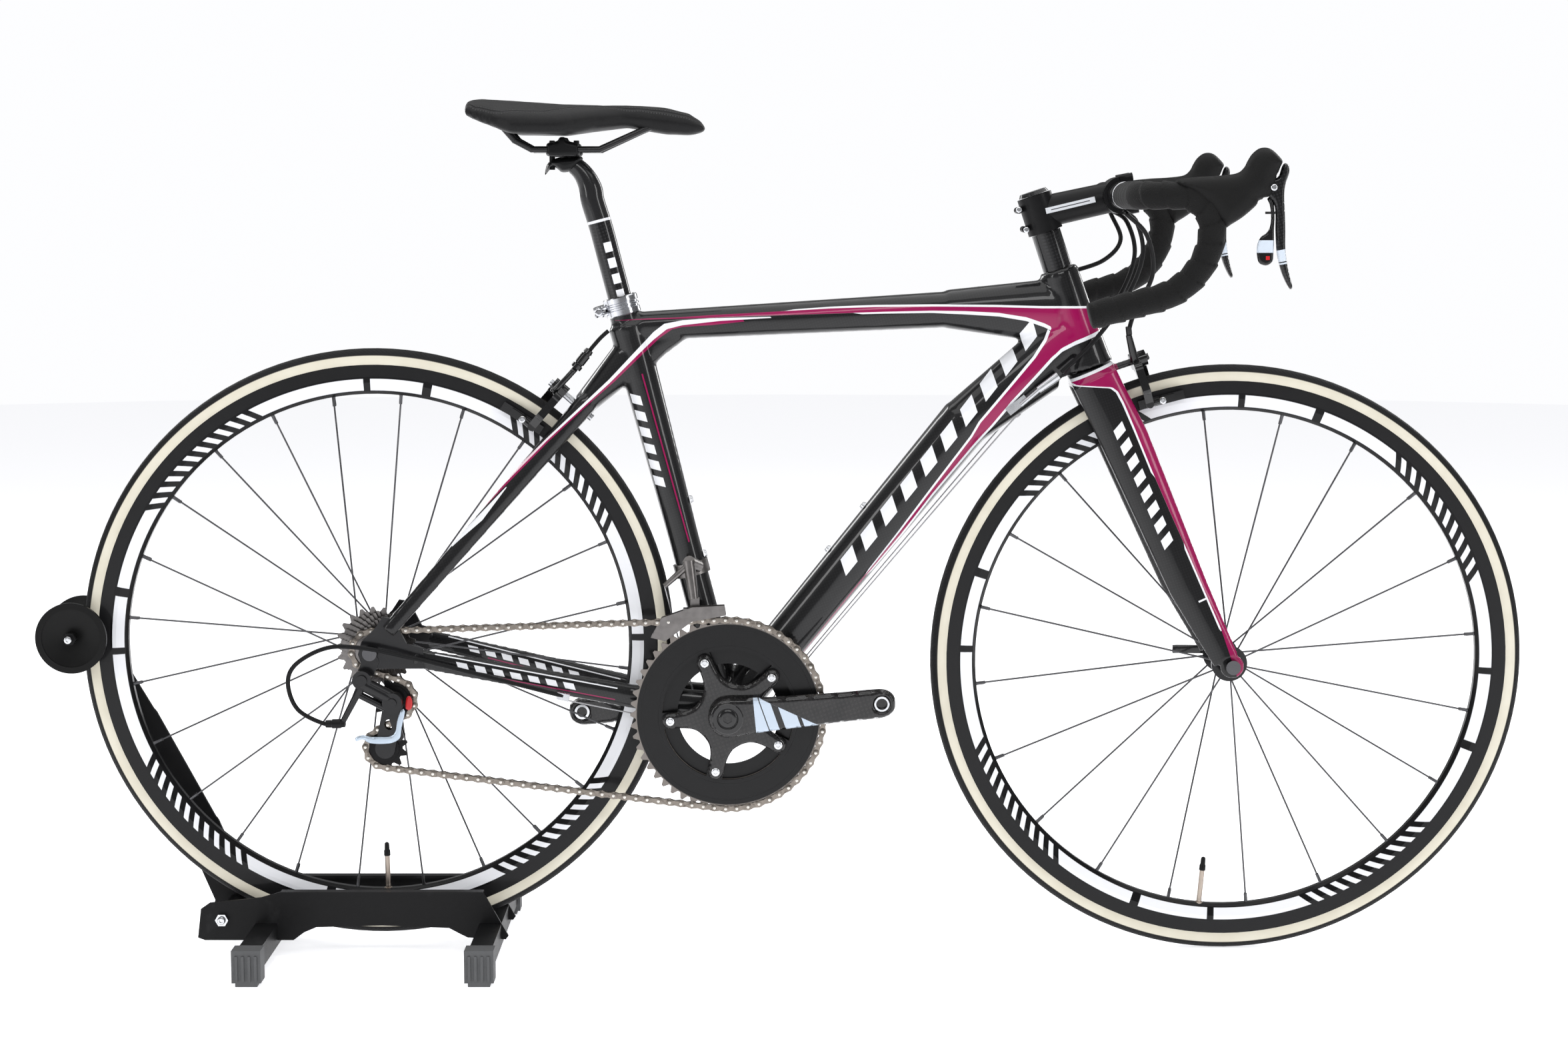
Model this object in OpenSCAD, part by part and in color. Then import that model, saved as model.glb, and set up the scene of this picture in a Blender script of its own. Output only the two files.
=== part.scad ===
// Road racing bicycle parked in a wheel stand with a rear roller arm.
// Millimetres. +X is the direction of travel, +Y the rider's left, +Z up.
// Everything is drawn from the rear axle and then moved so the origin is
// the middle of the footprint, on the floor.

/* [Wheels] */
// Outer radius of both tyres
tyre_r = 334; // [330:0.5:340]
// Diameter of the tyre section
tyre_w = 23; // [20:1:28]
// Outer radius of the rim, where the tyre sits
rim_outer_r = 316; // [312:0.5:320]
// Inner radius of the rim, where the spokes end
rim_inner_r = 283; // [275:1:300]
// Number of front spokes
front_spokes = 20; // [16:2:36]
// Number of rear spokes
rear_spokes = 24; // [20:4:36]
// Spoke radius
spoke_r = 1.0; // [0.8:0.1:1.4]

/* [Frame] */
// Distance between the axles
wheelbase = 958; // [940:1:1000]
// Height of the rear axle, resting in the stand
rear_axle_z = 352; // [334:1:360]
// Height of the front axle, on the floor
front_axle_z = 334; // [330:1:340]
// Crank axis, forward of the rear axle
bb_x = 396; // [380:1:420]
// Crank axis, above the floor
bb_z = 278; // [260:1:290]
// Seat tube angle from the floor
seat_angle = 75.4; // [72:0.1:77]
// Head tube angle from the floor
head_angle = 71.5; // [69:0.1:75]
// Lower headset race, forward of the rear axle
race_x = 800.8; // [790:0.1:820]
// Lower headset race, above the floor
race_z = 664; // [650:1:680]
// Radius of the seatpost
post_r = 13.6; // [12.5:0.1:15.8]

/* [Drivetrain] */
// Crank length, axis to pedal hole
crank_len = 170; // [165:2.5:175]
// Large chainring teeth
big_ring = 53; // [50:1:55]
// Small chainring teeth
small_ring = 39; // [34:1:42]
// Pitch of the chain
pitch = 12.7; // [12.7:0.1:12.7]
// Distance of the large chainring from the middle plane
ring_y = 46; // [43:0.5:48]
// Distance of the smallest sprocket from the middle plane
cog_y = 60; // [58:0.5:61]
// Gap between neighbouring sprockets, centre to centre
cog_step = 3.95; // [3.5:0.05:4.4]

/* [Handlebar] */
// Height of the handlebar centre
bar_z = 856; // [820:1:900]
// Handlebar centre, forward of the rear axle
bar_x = 832; // [800:1:860]
// Half the width of the handlebar, centre to centre
bar_half = 200; // [190:5:230]
// Radius of the bare handlebar tube
bar_r = 11.9; // [11.5:0.1:13]
// Radius over the handlebar tape
tape_r = 15; // [14:0.5:17]

/* [Stand] */
// Distance of each side plate from the middle plane
plate_y = 42; // [35:1:55]
// Side of the square cross tubes
leg_size = 25; // [20:1:30]
// Half the length of the cross tubes
leg_half = 168; // [140:1:200]
// Radius of the roller flanges
roller_r = 40; // [35:1:45]
// Half the width of the roller
roller_half = 32; // [25:1:38]

/* [Hidden] */
$fn = 64;
eps = 0.1;
fit = 0.05;
roller_x = -341.5;
roller_z = 362;
x_mid = (roller_x - roller_r + wheelbase + tyre_r) / 2;
tyre_mid_r = tyre_r - tyre_w / 2;
rim_half = 9.5;
bb_half = 34;
front_half = 50;
rear_half = 65;
steerer_r = 14.3;
spindle_r = 12;
fork_offset = 44;
race = [race_x, 0, race_z];
bb = [bb_x, 0, bb_z];
guide = [25, -cog_y, 298];
tension = [14, -cog_y, 243];
hanger = [-8, -71, 323.5];
front_bolt = [831, 0, 665];
rear_bolt = [225, 0, 623];
cogs = [11, 12, 13, 14, 15, 16, 17, 18, 19, 21];
pulley_teeth = 11;
leg_x = 126.6;
leg_z = 25.2;
arm_pivot = [-176, 0, 43];
lever_pivot = [967.6, 0, 864.4];
hood_x = bar_x + 40;
qr_pin = 11;

// ---------- helpers ----------

function pitch_r(teeth) = pitch / (2 * sin(180 / teeth));
function head_at(s) = race + s * [-cos(head_angle), 0, sin(head_angle)];
function seat_at(s) = bb + s * [-cos(seat_angle), 0, sin(seat_angle)];

module place() {
    translate([-x_mid, 0, 0]) children();
}

module on_head(s) {
    translate(head_at(s)) rotate([0, head_angle - 90, 0]) children();
}

module on_seat(s) {
    translate(seat_at(s)) rotate([0, seat_angle - 90, 0]) children();
}

// Local z points to the drive side, local x forward, local y up.
module at_front() {
    translate([wheelbase, 0, front_axle_z]) rotate([90, 0, 0]) children();
}

module at_rear() {
    translate([0, 0, rear_axle_z]) rotate([90, 0, 0]) children();
}

module at_bb() {
    translate(bb) rotate([90, 0, 0]) children();
}

module both_sides() {
    children();
    mirror([0, 1, 0]) children();
}

// Round rod or cone between two points.
module limb(a, b, ra, rb) {
    v = b - a;
    len = norm(v);
    translate(a) rotate([0, acos(v.z / len), atan2(v.y, v.x)])
        cylinder(h = len, r1 = ra, r2 = rb);
}

// Round rod through a list of points.
module pipe(pts, r) {
    for (i = [0:len(pts) - 2]) limb(pts[i], pts[i + 1], r, r);
    for (i = [1:len(pts) - 2]) {
        v = pts[i + 1] - pts[i - 1];
        translate(pts[i]) rotate([0, acos(v.z / norm(v)), atan2(v.y, v.x)]) sphere(r = r * 1.03);
    }
}

// Thin oval slice square to a limb that leans `lean` degrees from vertical.
module slice(p, lean, deep, wide) {
    translate(p) rotate([0, lean, 0]) linear_extrude(eps)
        scale([deep / 2, wide / 2]) circle(r = 1);
}

// Flat bar with round ends, drawn in the plane.
module bar_2d(a, b, r) {
    v = b - a;
    translate(a) rotate(atan2(v.y, v.x)) translate([0, -r]) square([norm(v), 2 * r]);
    translate(a) circle(r = r + 0.1);
    translate(b) circle(r = r + 0.1);
}

// Outline of a toothed wheel for the chain.
module tooth_2d(teeth) {
    rp = pitch_r(teeth);
    step = 360 / teeth;
    polygon([for (i = [0:teeth - 1]) for (k = [[0.12, -3.6], [0.40, 2.4], [0.60, 2.4], [0.88, -3.6]])
        (rp + k[1]) * [cos((i + k[0]) * step), sin((i + k[0]) * step)]]);
}

module hollow(h, r, bore) {
    difference() {
        cylinder(h = h, r = r);
        translate([0, 0, -1]) cylinder(h = h + 2, r = bore);
    }
}

// ---------- stand ----------

plate_pts = [[-204, 22], [-196, 19], [-96, 19], [-84, 28], [-70, 34], [5, 36], [80, 33], [93, 26],
    [101, 22], [144, 20], [147, 24], [119, 74.5], [-110, 74.5], [-132, 68], [-190, 62], [-200, 55]];

module stand_plates() {
    color([0.05, 0.05, 0.055]) place() difference() {
        both_sides() {
            translate([0, plate_y + 3, 0]) rotate([90, 0, 0]) linear_extrude(3) polygon(plate_pts);
            translate([-110, plate_y - 9, 71.5]) cube([229, 10, 3]);
        }
        for (s = [-1, 1]) translate([s * leg_x - leg_size / 2, -60, leg_z - leg_size / 2])
            cube([leg_size, 120, leg_size]);
        translate(arm_pivot) rotate([90, 0, 0]) cylinder(h = 120, r = 4, center = true);
    }
}

module stand_legs() {
    color([0.05, 0.05, 0.055]) place() for (s = [-1, 1]) translate([s * leg_x, 0, leg_z])
        difference() {
            cube([leg_size, 2 * leg_half, leg_size], center = true);
            cube([leg_size - 4, 2 * leg_half + 2, leg_size - 4], center = true);
        }
}

module foot() {
    difference() {
        union() {
            translate([-16, leg_half - 22, 0]) cube([32, 24, 40]);
            for (i = [0:3]) translate([-12 + 7 * i, leg_half + 2, 6]) cube([3, 1.5, 28]);
        }
        translate([-leg_size / 2, leg_half - 23, leg_z - leg_size / 2])
            cube([leg_size, 23, leg_size]);
        translate([-17, leg_half - 23, -1]) cube([5, 26, 5]);
        translate([12, leg_half - 23, -1]) cube([5, 26, 5]);
    }
}

module stand_feet() {
    color([0.35, 0.36, 0.37]) place() for (s = [-1, 1]) translate([s * leg_x, 0, 0])
        both_sides() foot();
}

module stand_bolts() {
    color([0.75, 0.76, 0.78]) place() translate(arm_pivot) rotate([90, 0, 0]) {
        cylinder(h = 2 * plate_y + 18, r = 4, center = true);
        for (s = [0, 1]) mirror([0, 0, s]) translate([0, 0, plate_y + 3])
            cylinder(h = 5, r = 7.5, $fn = 6);
    }
}

arm_pts = [[-176, 43], [-212, 129], [-279, 255], [roller_x, roller_z]];

module stand_arm() {
    color([0.05, 0.05, 0.055]) place() {
        translate([0, 39, 0]) rotate([90, 0, 0]) difference() {
            linear_extrude(4) {
                for (i = [0:2]) bar_2d(arm_pts[i], arm_pts[i + 1], 21 - i * 0.8);
            }
            translate([arm_pivot.x, arm_pivot.z, -1]) cylinder(h = 6, r = 4 + fit);
        }
        translate([arm_pivot.x, 35.5, arm_pivot.z]) rotate([90, 0, 0]) hollow(71, 9, 4 + fit);
        translate([roller_x, 44, roller_z]) rotate([90, 0, 0]) {
            cylinder(h = 83, r = 3);
            cylinder(h = 5, r = 7.5, $fn = 6);
            translate([0, 0, 78]) cylinder(h = 5, r = 7.5, $fn = 6);
        }
    }
}

module stand_roller() {
    w = roller_half;
    color([0.07, 0.07, 0.075]) place() translate([roller_x, 0, roller_z]) rotate([90, 0, 0])
        difference() {
            rotate_extrude() polygon([[3 + fit, -w], [6.9, -w], [6.9, -w + 5], [33, -w + 1], [33, -w],
                [roller_r, -w], [roller_r, -w + 4], [6.9, -6.5], [6.9, 6.5], [roller_r, w - 4],
                [roller_r, w], [33, w], [33, w - 1], [6.9, w - 5], [6.9, w], [3 + fit, w]]);
        }
}

// ---------- frame ----------

module head_bore(r) {
    on_head(-20) cylinder(h = 180, r = r);
}

module seat_bore(r) {
    on_seat(60) cylinder(h = 440, r = r);
}

module bb_bore(r) {
    at_bb() cylinder(h = 140, r = r, center = true);
}

module head_tube() {
    bore = steerer_r + fit;
    color([0.02, 0.02, 0.02]) place() on_head(0) rotate_extrude()
        polygon([[bore, 1], [26.5, 1], [26.5, 6], [26, 7], [23.5, 50], [22, 108], [22.5, 110],
            [20, 116], [bore, 116]]);
}

module top_tube() {
    color([0.02, 0.02, 0.02]) place() difference() {
        union() {
            limb([298, 0, 710.5], [650, 0, 729.5], 16.2, 20.4);
            hull() {
                slice([640, 0, 729.5], 90, 43, 42);
                slice([764, 0, 727], 90, 74, 44);
            }
        }
        head_bore(22);
        seat_bore(16.6);
    }
}

module down_tube() {
    color([0.02, 0.02, 0.02]) place() difference() {
        union() {
            limb([412, 0, 296], [664, 0, 606], 25, 29);
            hull() {
                slice([660, 0, 601], 39, 58, 57);
                slice([782, 0, 697], 55, 74, 48);
            }
        }
        head_bore(22);
        on_head(-60) cylinder(h = 60.5, r = 40);
        bb_bore(19.8);
    }
}

module seat_tube() {
    bore = post_r + fit;
    color([0.02, 0.02, 0.02]) place() difference() {
        on_seat(0) rotate_extrude() polygon([[0, 12], [17.5, 12], [17, 202], [19, 332], [21, 448],
            [16.8, 451], [16.8, 482], [bore, 482], [bore, 170], [0, 170]]);
        bb_bore(19.8);
    }
}

module bottom_bracket() {
    color([0.03, 0.03, 0.035]) place() at_bb() {
        translate([0, 0, -bb_half]) hollow(2 * bb_half, 22, 16);
        for (s = [0, 1]) mirror([0, 0, s]) translate([0, 0, bb_half - 8])
            hollow(8, 16.5, spindle_r + fit);
        for (s = [0, 1]) mirror([0, 0, s]) translate([0, 0, bb_half]) hollow(3, 20, spindle_r + fit);
    }
}

module chain_stays() {
    color([0.02, 0.02, 0.02]) place() difference() {
        both_sides() {
            hull() {
                slice([388, 24, 284], -82, 32, 18);
                slice([286, 28, 296], -82, 27, 16);
            }
            hull() {
                slice([287, 28, 296], -82, 27, 16);
                slice([48, 67.5, 346], -79, 22, 7);
            }
        }
        bb_bore(19.8);
    }
}

module seat_stays() {
    color([0.02, 0.02, 0.02]) place() difference() {
        union() {
            hull() {
                slice([286, 0, 676], 42, 44, 38);
                slice([234, 0, 622], 42, 26, 50);
            }
            both_sides() hull() {
                slice([240, 17, 628], 42, 24, 16);
                slice([20, 71, 376], 42, 17, 11);
            }
        }
        seat_bore(16.6);
        at_rear_brake() rotate([0, 90, 0]) cylinder(h = 90, r = 4, center = true);
    }
}

drop_pts = [[-10, 338], [-14, 350], [-10, 364], [6, 380], [14, 392], [26, 390], [34, 374], [40, 362],
    [58, 357], [60, 334], [30, 334], [10, 334]];

module dropouts() {
    color([0.12, 0.12, 0.13]) place() difference() {
        union() {
            both_sides() translate([0, rear_half + 5, 0]) rotate([90, 0, 0]) linear_extrude(5)
                polygon(drop_pts);
            translate([0, -rear_half, 0]) rotate([90, 0, 0]) linear_extrude(6)
                bar_2d([0, 342], [hanger.x, hanger.z], 9);
        }
        at_rear() cylinder(h = 150, r = 5, center = true);
    }
}

module seat_clamp() {
    color([0.75, 0.76, 0.78]) place() difference() {
        union() {
            on_seat(460) cylinder(h = 21, r = 19.5);
            on_seat(460) translate([-28, -7, 3]) cube([12, 14, 15]);
            on_seat(470.5) translate([-24, 0, 0]) rotate([90, 0, 0])
                cylinder(h = 20, r = 3, center = true);
        }
        on_seat(450) cylinder(h = 40, r = 16.8);
        on_seat(455) translate([-35, -1, 0]) cube([19, 2, 40]);
    }
}

module button(p, lean) {
    translate(p) rotate([0, lean, 0]) cylinder(h = 3, r1 = 5, r2 = 3.6);
}

module frame_fittings() {
    color([0.7, 0.71, 0.73]) place() {
        button([548, 0, 508], -51);
        button([508.5, 0, 459], -51);
        button([353, 0, 515.5], 75.4);
        button([368.5, 0, 454], 75.4);
        both_sides() {
            translate([718, 23, 624]) rotate([0, 51, 0]) cube([9, 8, 26], center = true);
            limb([741, 30, 641], [763, 30, 657], 4, 5);
            limb([722, 28, 624], [745, 30, 644], 2.4, 2.4);
        }
        translate([212, -54, 300]) rotate([0, 12, 0]) cube([14, 8, 8], center = true);
        at_rear_brake() rotate([0, 90, 0]) translate([0, 0, -24]) cylinder(h = 62, r = 4);
    }
}

// ---------- derailleurs and chain ----------

module front_derailleur() {
    cage = [[-86, 88], [-70, 84], [-40, 106], [-2, 113], [-4, 124], [-40, 122], [-74, 110]];
    color([0.3, 0.3, 0.31]) place() {
        difference() {
            on_seat(158) cylinder(h = 15, r = 20);
            on_seat(150) cylinder(h = 30, r = 17.2);
        }
        limb([362, -18, 442], [352, -34, 448], 7, 8);
        limb([352, -34, 450], [358, -40, 408], 7, 5);
        limb([352, -34, 446], [325, -38, 422], 4, 3);
        for (y = [ring_y - 6.5, ring_y + 4]) translate([bb_x, -y, bb_z]) rotate([90, 0, 0])
            linear_extrude(1.6) polygon(cage);
        translate([bb_x - 50, -ring_y - 5, bb_z + 118.5]) cube([30, 12, 2]);
        translate([bb_x - 42, -ring_y + 4.8, bb_z + 112]) cube([10, 4, 20]);
        limb([bb_x - 83, -ring_y + 5, bb_z + 90], [bb_x - 83, -ring_y - 5, bb_z + 90], 2, 2);
    }
}

module rear_derailleur() {
    color([0.06, 0.06, 0.065]) place() {
        translate(hanger) rotate([90, 0, 0]) {
            cylinder(h = 16, r = 10.5);
            translate([0, 0, 15]) cylinder(h = 4, r = 6);
        }
        limb([hanger.x, -80, hanger.z - 4], [guide.x, -77, guide.z + 3], 8, 8.5);
        limb([hanger.x - 6, -79, hanger.z - 16], [guide.x - 8, -77, guide.z - 7], 4, 4);
        limb([hanger.x, -79, hanger.z - 6], [hanger.x - 8, -79, hanger.z - 20], 6, 4);
        translate([guide.x, -68.5, guide.z]) rotate([90, 0, 0]) cylinder(h = 17, r = 11);
        translate([guide.x, -85, guide.z]) rotate([90, 0, 0]) cylinder(h = 3, r = 5);
        limb([-14, -79, 307], [-30, -79, 277], 4, 3.2);
    }
}

module cage_2d() {
    difference() {
        bar_2d([guide.x, guide.z], [tension.x, tension.z], 11);
        translate([19.5, 270.5]) circle(r = 6);
    }
    bar_2d([guide.x - 4, guide.z - 10], [tension.x + 16, tension.z + 14], 5);
}

module derailleur_cage() {
    color([0.1, 0.1, 0.11]) place() {
        for (y = [-cog_y - 5, -cog_y + 6.6]) translate([0, y, 0]) rotate([90, 0, 0])
            linear_extrude(1.6) cage_2d();
        for (p = [guide, tension]) translate([p.x, -cog_y + 6.6, p.z]) rotate([90, 0, 0])
            cylinder(h = 13.2, r = 2.5);
        limb([guide.x, -66.5, guide.z], [guide.x, -68.5, guide.z], 8, 8);
    }
}

module pulley() {
    rotate([90, 0, 0]) difference() {
        union() {
            linear_extrude(2, center = true) tooth_2d(pulley_teeth);
            cylinder(h = 6, r = 15, center = true);
            cylinder(h = 9.4, r = 5, center = true);
        }
        cylinder(h = 20, r = 2.5 + fit, center = true);
    }
}

module guide_pulley() {
    color([0.08, 0.08, 0.08]) place() translate(guide) pulley();
}

module tension_pulley() {
    color([0.08, 0.08, 0.08]) place() translate(tension) pulley();
}

strip_gap = 1.35;
strip_t = 0.9;
strip_h = 8.2;

// Side plates of a bent run of chain. Angles turn from +X towards +Z.
module chain_arc(c, r, from, sweep) {
    translate(c) rotate([90, 0, 0]) rotate([0, 0, from]) for (s = [0, 1]) mirror([0, 0, s])
        rotate_extrude(angle = sweep) translate([r - strip_h / 2, strip_gap])
            square([strip_h, strip_t]);
}

// Straight run of chain from a to b with `n` rollers of radius r, clear of both ends.
module chain_run(a, b, n, r) {
    v = b - a;
    flat = norm([v.x, v.y]);
    translate(a) rotate([0, 0, atan2(v.y, v.x)]) rotate([0, -atan2(v.z, flat), 0]) {
        for (s = [-1, 1]) translate([0.1, s * (strip_gap + strip_t / 2) - strip_t / 2, -strip_h / 2])
            cube([norm(v) - 0.2, strip_t, strip_h]);
        if (n > 0) for (i = [1:n]) translate([(i - 0.5) * norm(v) / n, 0, 0]) rotate([90, 0, 0])
            cylinder(h = 2 * strip_gap + 0.6, r = r, center = true);
    }
}

// Long run: flat by the sprocket and by the chainring, angled between them.
module long_run(a, b) {
    v = [b.x - a.x, 0, b.z - a.z] / norm([b.x - a.x, b.z - a.z]);
    p = a + 20 * v;
    q = b - 42 * v;
    chain_run(a, p, 0, 0);
    chain_run(p, q, floor(norm(q - p) / pitch), 3.8);
    chain_run(q, b, 0, 0);
}

// Point on a pitch circle.
function rim_pt(c, r, a) = [c.x + r * cos(a), c.y, c.z + r * sin(a)];
// Direction angle of the line joining two centres.
function dir(a, b) = atan2(b.z - a.z, b.x - a.x);
function span(a, b) = norm([b.x - a.x, b.z - a.z]);

r_ring = pitch_r(big_ring);
r_cog = pitch_r(cogs[0]);
ring_c = [bb_x, -ring_y, bb_z];
cog_c = [0, -cog_y, rear_axle_z];
// Outside tangent over the top: sprocket to chainring.
a_top = dir(cog_c, ring_c) + 90 + asin((r_ring - r_cog) / span(cog_c, ring_c));
// Outside tangent along the bottom: tension pulley to chainring.
a_bot = dir(tension, ring_c) - 90 - asin((r_ring - r_cog) / span(tension, ring_c));
// Crossed tangents: sprocket to guide pulley, guide pulley to tension pulley.
a_cg = dir(cog_c, guide) - acos(2 * r_cog / span(cog_c, guide));
a_gt = dir(guide, tension) + acos(2 * r_cog / span(guide, tension));

module chain() {
    color([0.62, 0.63, 0.65]) place() {
        long_run(rim_pt(cog_c, r_cog, a_top), rim_pt(ring_c, r_ring, a_top));
        chain_arc(ring_c, r_ring, a_bot, a_top - a_bot);
        long_run(rim_pt(tension, r_cog, a_bot), rim_pt(ring_c, r_ring, a_bot));
        chain_arc(cog_c, r_cog, a_top, 360 + a_cg - a_top);
        chain_run(rim_pt(cog_c, r_cog, a_cg), rim_pt(guide, r_cog, a_cg + 180), 1, 3.4);
        chain_arc(guide, r_cog, a_gt, a_cg + 180 - a_gt);
        chain_run(rim_pt(guide, r_cog, a_gt), rim_pt(tension, r_cog, a_gt + 180), 1, 2.6);
        chain_arc(tension, r_cog, a_gt + 180, a_bot - a_gt - 180 + 360);
    }
}

module frame_cables() {
    color([0.15, 0.15, 0.16]) place() {
        both_sides() pipe([[722, 25, 614], [690, 22, 580], [480, 15, 330], [430, 16, 262]], 0.8);
        pipe([[-33, -79, 273], [-52, -78.6, 274], [-80, -80, 290], [-90, -82, 318], [-82, -84, 340],
            [-52, -86, 358], [-20, -86, 361], [40, -82, 350], [212, -56, 301]], 2.5);
        pipe([[262, -17, 706], [252, -15, 700], [243, -15, 686], [232, -16, 672], [222, -17, 650]], 2.5);
        pipe([[325, -39, 423], [340, -24, 360], [354, -11, 305], [367, -10, 262], [386, -10, 254]], 0.8);
        pipe([[408, -14, 253], [390, -16, 253.5], [214, -53.5, 296]], 0.8);
    }
}

module seatpost() {
    color([0.06, 0.06, 0.065]) place() {
        difference() {
            union() {
                on_seat(330) cylinder(h = 262, r = post_r);
                translate(seat_at(592)) sphere(r = post_r);
                limb(seat_at(592), [219, 0, 886], post_r, 13.5);
                translate([216, 0, 889]) rotate([90, 0, 0]) cylinder(h = 36, r = 10.5, center = true);
            }
            on_seat(325) cylinder(h = 250, r = post_r - 3);
        }
    }
}

module saddle_clamp() {
    color([0.08, 0.08, 0.085]) place() difference() {
        union() {
            translate([216, 0, 902]) cube([52, 54, 7], center = true);
            translate([216, 0, 910.5]) cube([46, 54, 7], center = true);
            for (x = [196, 236]) translate([x, 0, 886]) cylinder(h = 30, r = 3);
            translate([216, 0, 896]) cube([40, 30, 8], center = true);
        }
        both_sides() limb([150, 22, 906.3], [280, 22, 906.3], 3.5, 3.5);
    }
}

module saddle_rails() {
    color([0.3, 0.3, 0.31]) place() both_sides()
        pipe([[150, 34, 930], [162, 29, 916], [180, 22, 906.3], [255, 22, 906.3], [303, 13, 928],
            [320, 8, 934]], 3.5);
}

module saddle() {
    color([0.03, 0.03, 0.03]) place() {
        hull() both_sides() {
            translate([119, 24, 951]) sphere(r = 12, $fn = 20);
            translate([150, 54, 944]) sphere(r = 13, $fn = 20);
            translate([195, 42, 942]) sphere(r = 13, $fn = 20);
            translate([255, 14, 943]) sphere(r = 13, $fn = 20);
        }
        hull() both_sides() {
            translate([235, 17, 943]) sphere(r = 13, $fn = 20);
            translate([320, 7, 940]) sphere(r = 13, $fn = 20);
            translate([358, 5, 937]) sphere(r = 13, $fn = 20);
        }
    }
}

// ---------- steering ----------

module fork() {
    top = [804, 27, 653];
    mid = [838, 31, 585];
    low = [909, 44, 422];
    tip = [951, 54, 341];
    color([0.02, 0.02, 0.02]) place() {
        difference() {
            union() {
                hull() {
                    on_head(-5) cylinder(h = 5, r = 26);
                    both_sides() slice(top, 154, 52, 20);
                }
                both_sides() {
                    hull() {
                        slice(top, 154, 52, 20);
                        slice(mid, 156, 54, 21);
                    }
                    hull() {
                        slice(mid, 156, 54, 21);
                        slice(low, 156, 43, 17);
                    }
                    hull() {
                        slice(low, 156, 43, 17);
                        slice(tip, 150, 30, 8);
                    }
                    translate([wheelbase, front_half + 6, front_axle_z]) rotate([90, 0, 0])
                        cylinder(h = 6, r = 13);
                }
            }
            at_front() cylinder(h = 130, r = 4.6, center = true);
        }
        on_head(-1) cylinder(h = 201, r = steerer_r);
        translate(front_bolt) rotate([0, -18.5, 0]) rotate([0, 90, 0])
            translate([0, 0, -26]) cylinder(h = 64, r = 4);
    }
}

module headset_spacers() {
    color([0.08, 0.08, 0.085]) place() {
        on_head(117) hollow(42, 16.3, steerer_r);
        on_head(203) cylinder(h = 4, r1 = 17, r2 = 15);
    }
}

module stem() {
    color([0.05, 0.05, 0.055]) place() difference() {
        union() {
            on_head(160) cylinder(h = 42, r = 19.5);
            limb(head_at(182), [bar_x - 12, 0, bar_z - 2.5], 18, 17);
            translate([bar_x, 0, bar_z]) rotate([90, 0, 0]) cylinder(h = 44, r = 20.5, center = true);
            for (s = [170, 192]) on_head(s) translate([-22, 0, 0]) rotate([90, 0, 0])
                cylinder(h = 30, r = 3.5, center = true);
        }
        on_head(150) cylinder(h = 51.5, r = steerer_r);
        translate([bar_x, 0, bar_z]) rotate([90, 0, 0]) cylinder(h = 60, r = 15.9, center = true);
        translate([bar_x, 0, bar_z]) rotate([0, -11, 0]) translate([0.5, -30, -30]) cube([40, 60, 60]);
    }
}

module stem_faceplate() {
    color([0.05, 0.05, 0.055]) place() translate([bar_x, 0, bar_z]) rotate([0, -11, 0])
        difference() {
            union() {
                rotate([90, 0, 0]) cylinder(h = 44, r = 20.5, center = true);
                for (z = [-18, 18]) for (y = [-15, 15]) translate([0, y, z]) rotate([0, 90, 0])
                    cylinder(h = 16, r = 4.5);
            }
            rotate([90, 0, 0]) cylinder(h = 60, r = 15.9, center = true);
            translate([-39.5, -30, -30]) cube([40.5, 60, 60]);
        }
}

// Drop bar centre line, swept with a given radius on both sides.
module bar_sweep(r, from) {
    end_a = 75.5;
    for (s = [-1, 1]) {
        y = s * bar_half;
        low = [hood_x - 42, y, bar_z - 34] + 76 * [cos(end_a), 0, -sin(end_a)];
        translate([bar_x, s * from, bar_z]) rotate([-90 * s, 0, 0])
            cylinder(h = bar_half - 40 - from, r = r);
        translate([bar_x + 40, y - s * 40, bar_z]) rotate([0, 0, 135 - s * 45])
            rotate_extrude(angle = 90) translate([40, 0]) circle(r = r);
        translate([hood_x, y, bar_z - 34]) rotate([90, 0, 0])
            rotate_extrude(angle = 90) translate([34, 0]) circle(r = r);
        translate([hood_x - 42, y, bar_z - 34]) rotate([90, 0, 0]) rotate([0, 0, -end_a])
            rotate_extrude(angle = end_a) translate([76, 0]) circle(r = r);
        limb(low, low - 70 * [sin(end_a), 0, cos(end_a)], r, r);
        for (j = [[[bar_x, y - s * 40, bar_z], [90, 0, 0]], [[hood_x, y, bar_z], [0, 90, 0]],
            [[hood_x + 34, y, bar_z - 34], [0, 0, 0]], [low, [0, end_a, 0]]])
            translate(j[0]) rotate(j[1]) sphere(r = r + 0.3);
    }
}

module handlebar() {
    color([0.06, 0.06, 0.065]) place() {
        bar_sweep(bar_r, 40);
        translate([bar_x, 0, bar_z]) rotate([90, 0, 0]) cylinder(h = 64, r = 15.9, center = true);
        both_sides() translate([bar_x, 31, bar_z]) rotate([-90, 0, 0])
            cylinder(h = 20, r1 = 15.4, r2 = bar_r + 0.4);
    }
}

module bar_tape() {
    color([0.03, 0.03, 0.03]) place() difference() {
        bar_sweep(tape_r, 62);
        bar_sweep(bar_r + 0.05, 40);
    }
}

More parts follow.
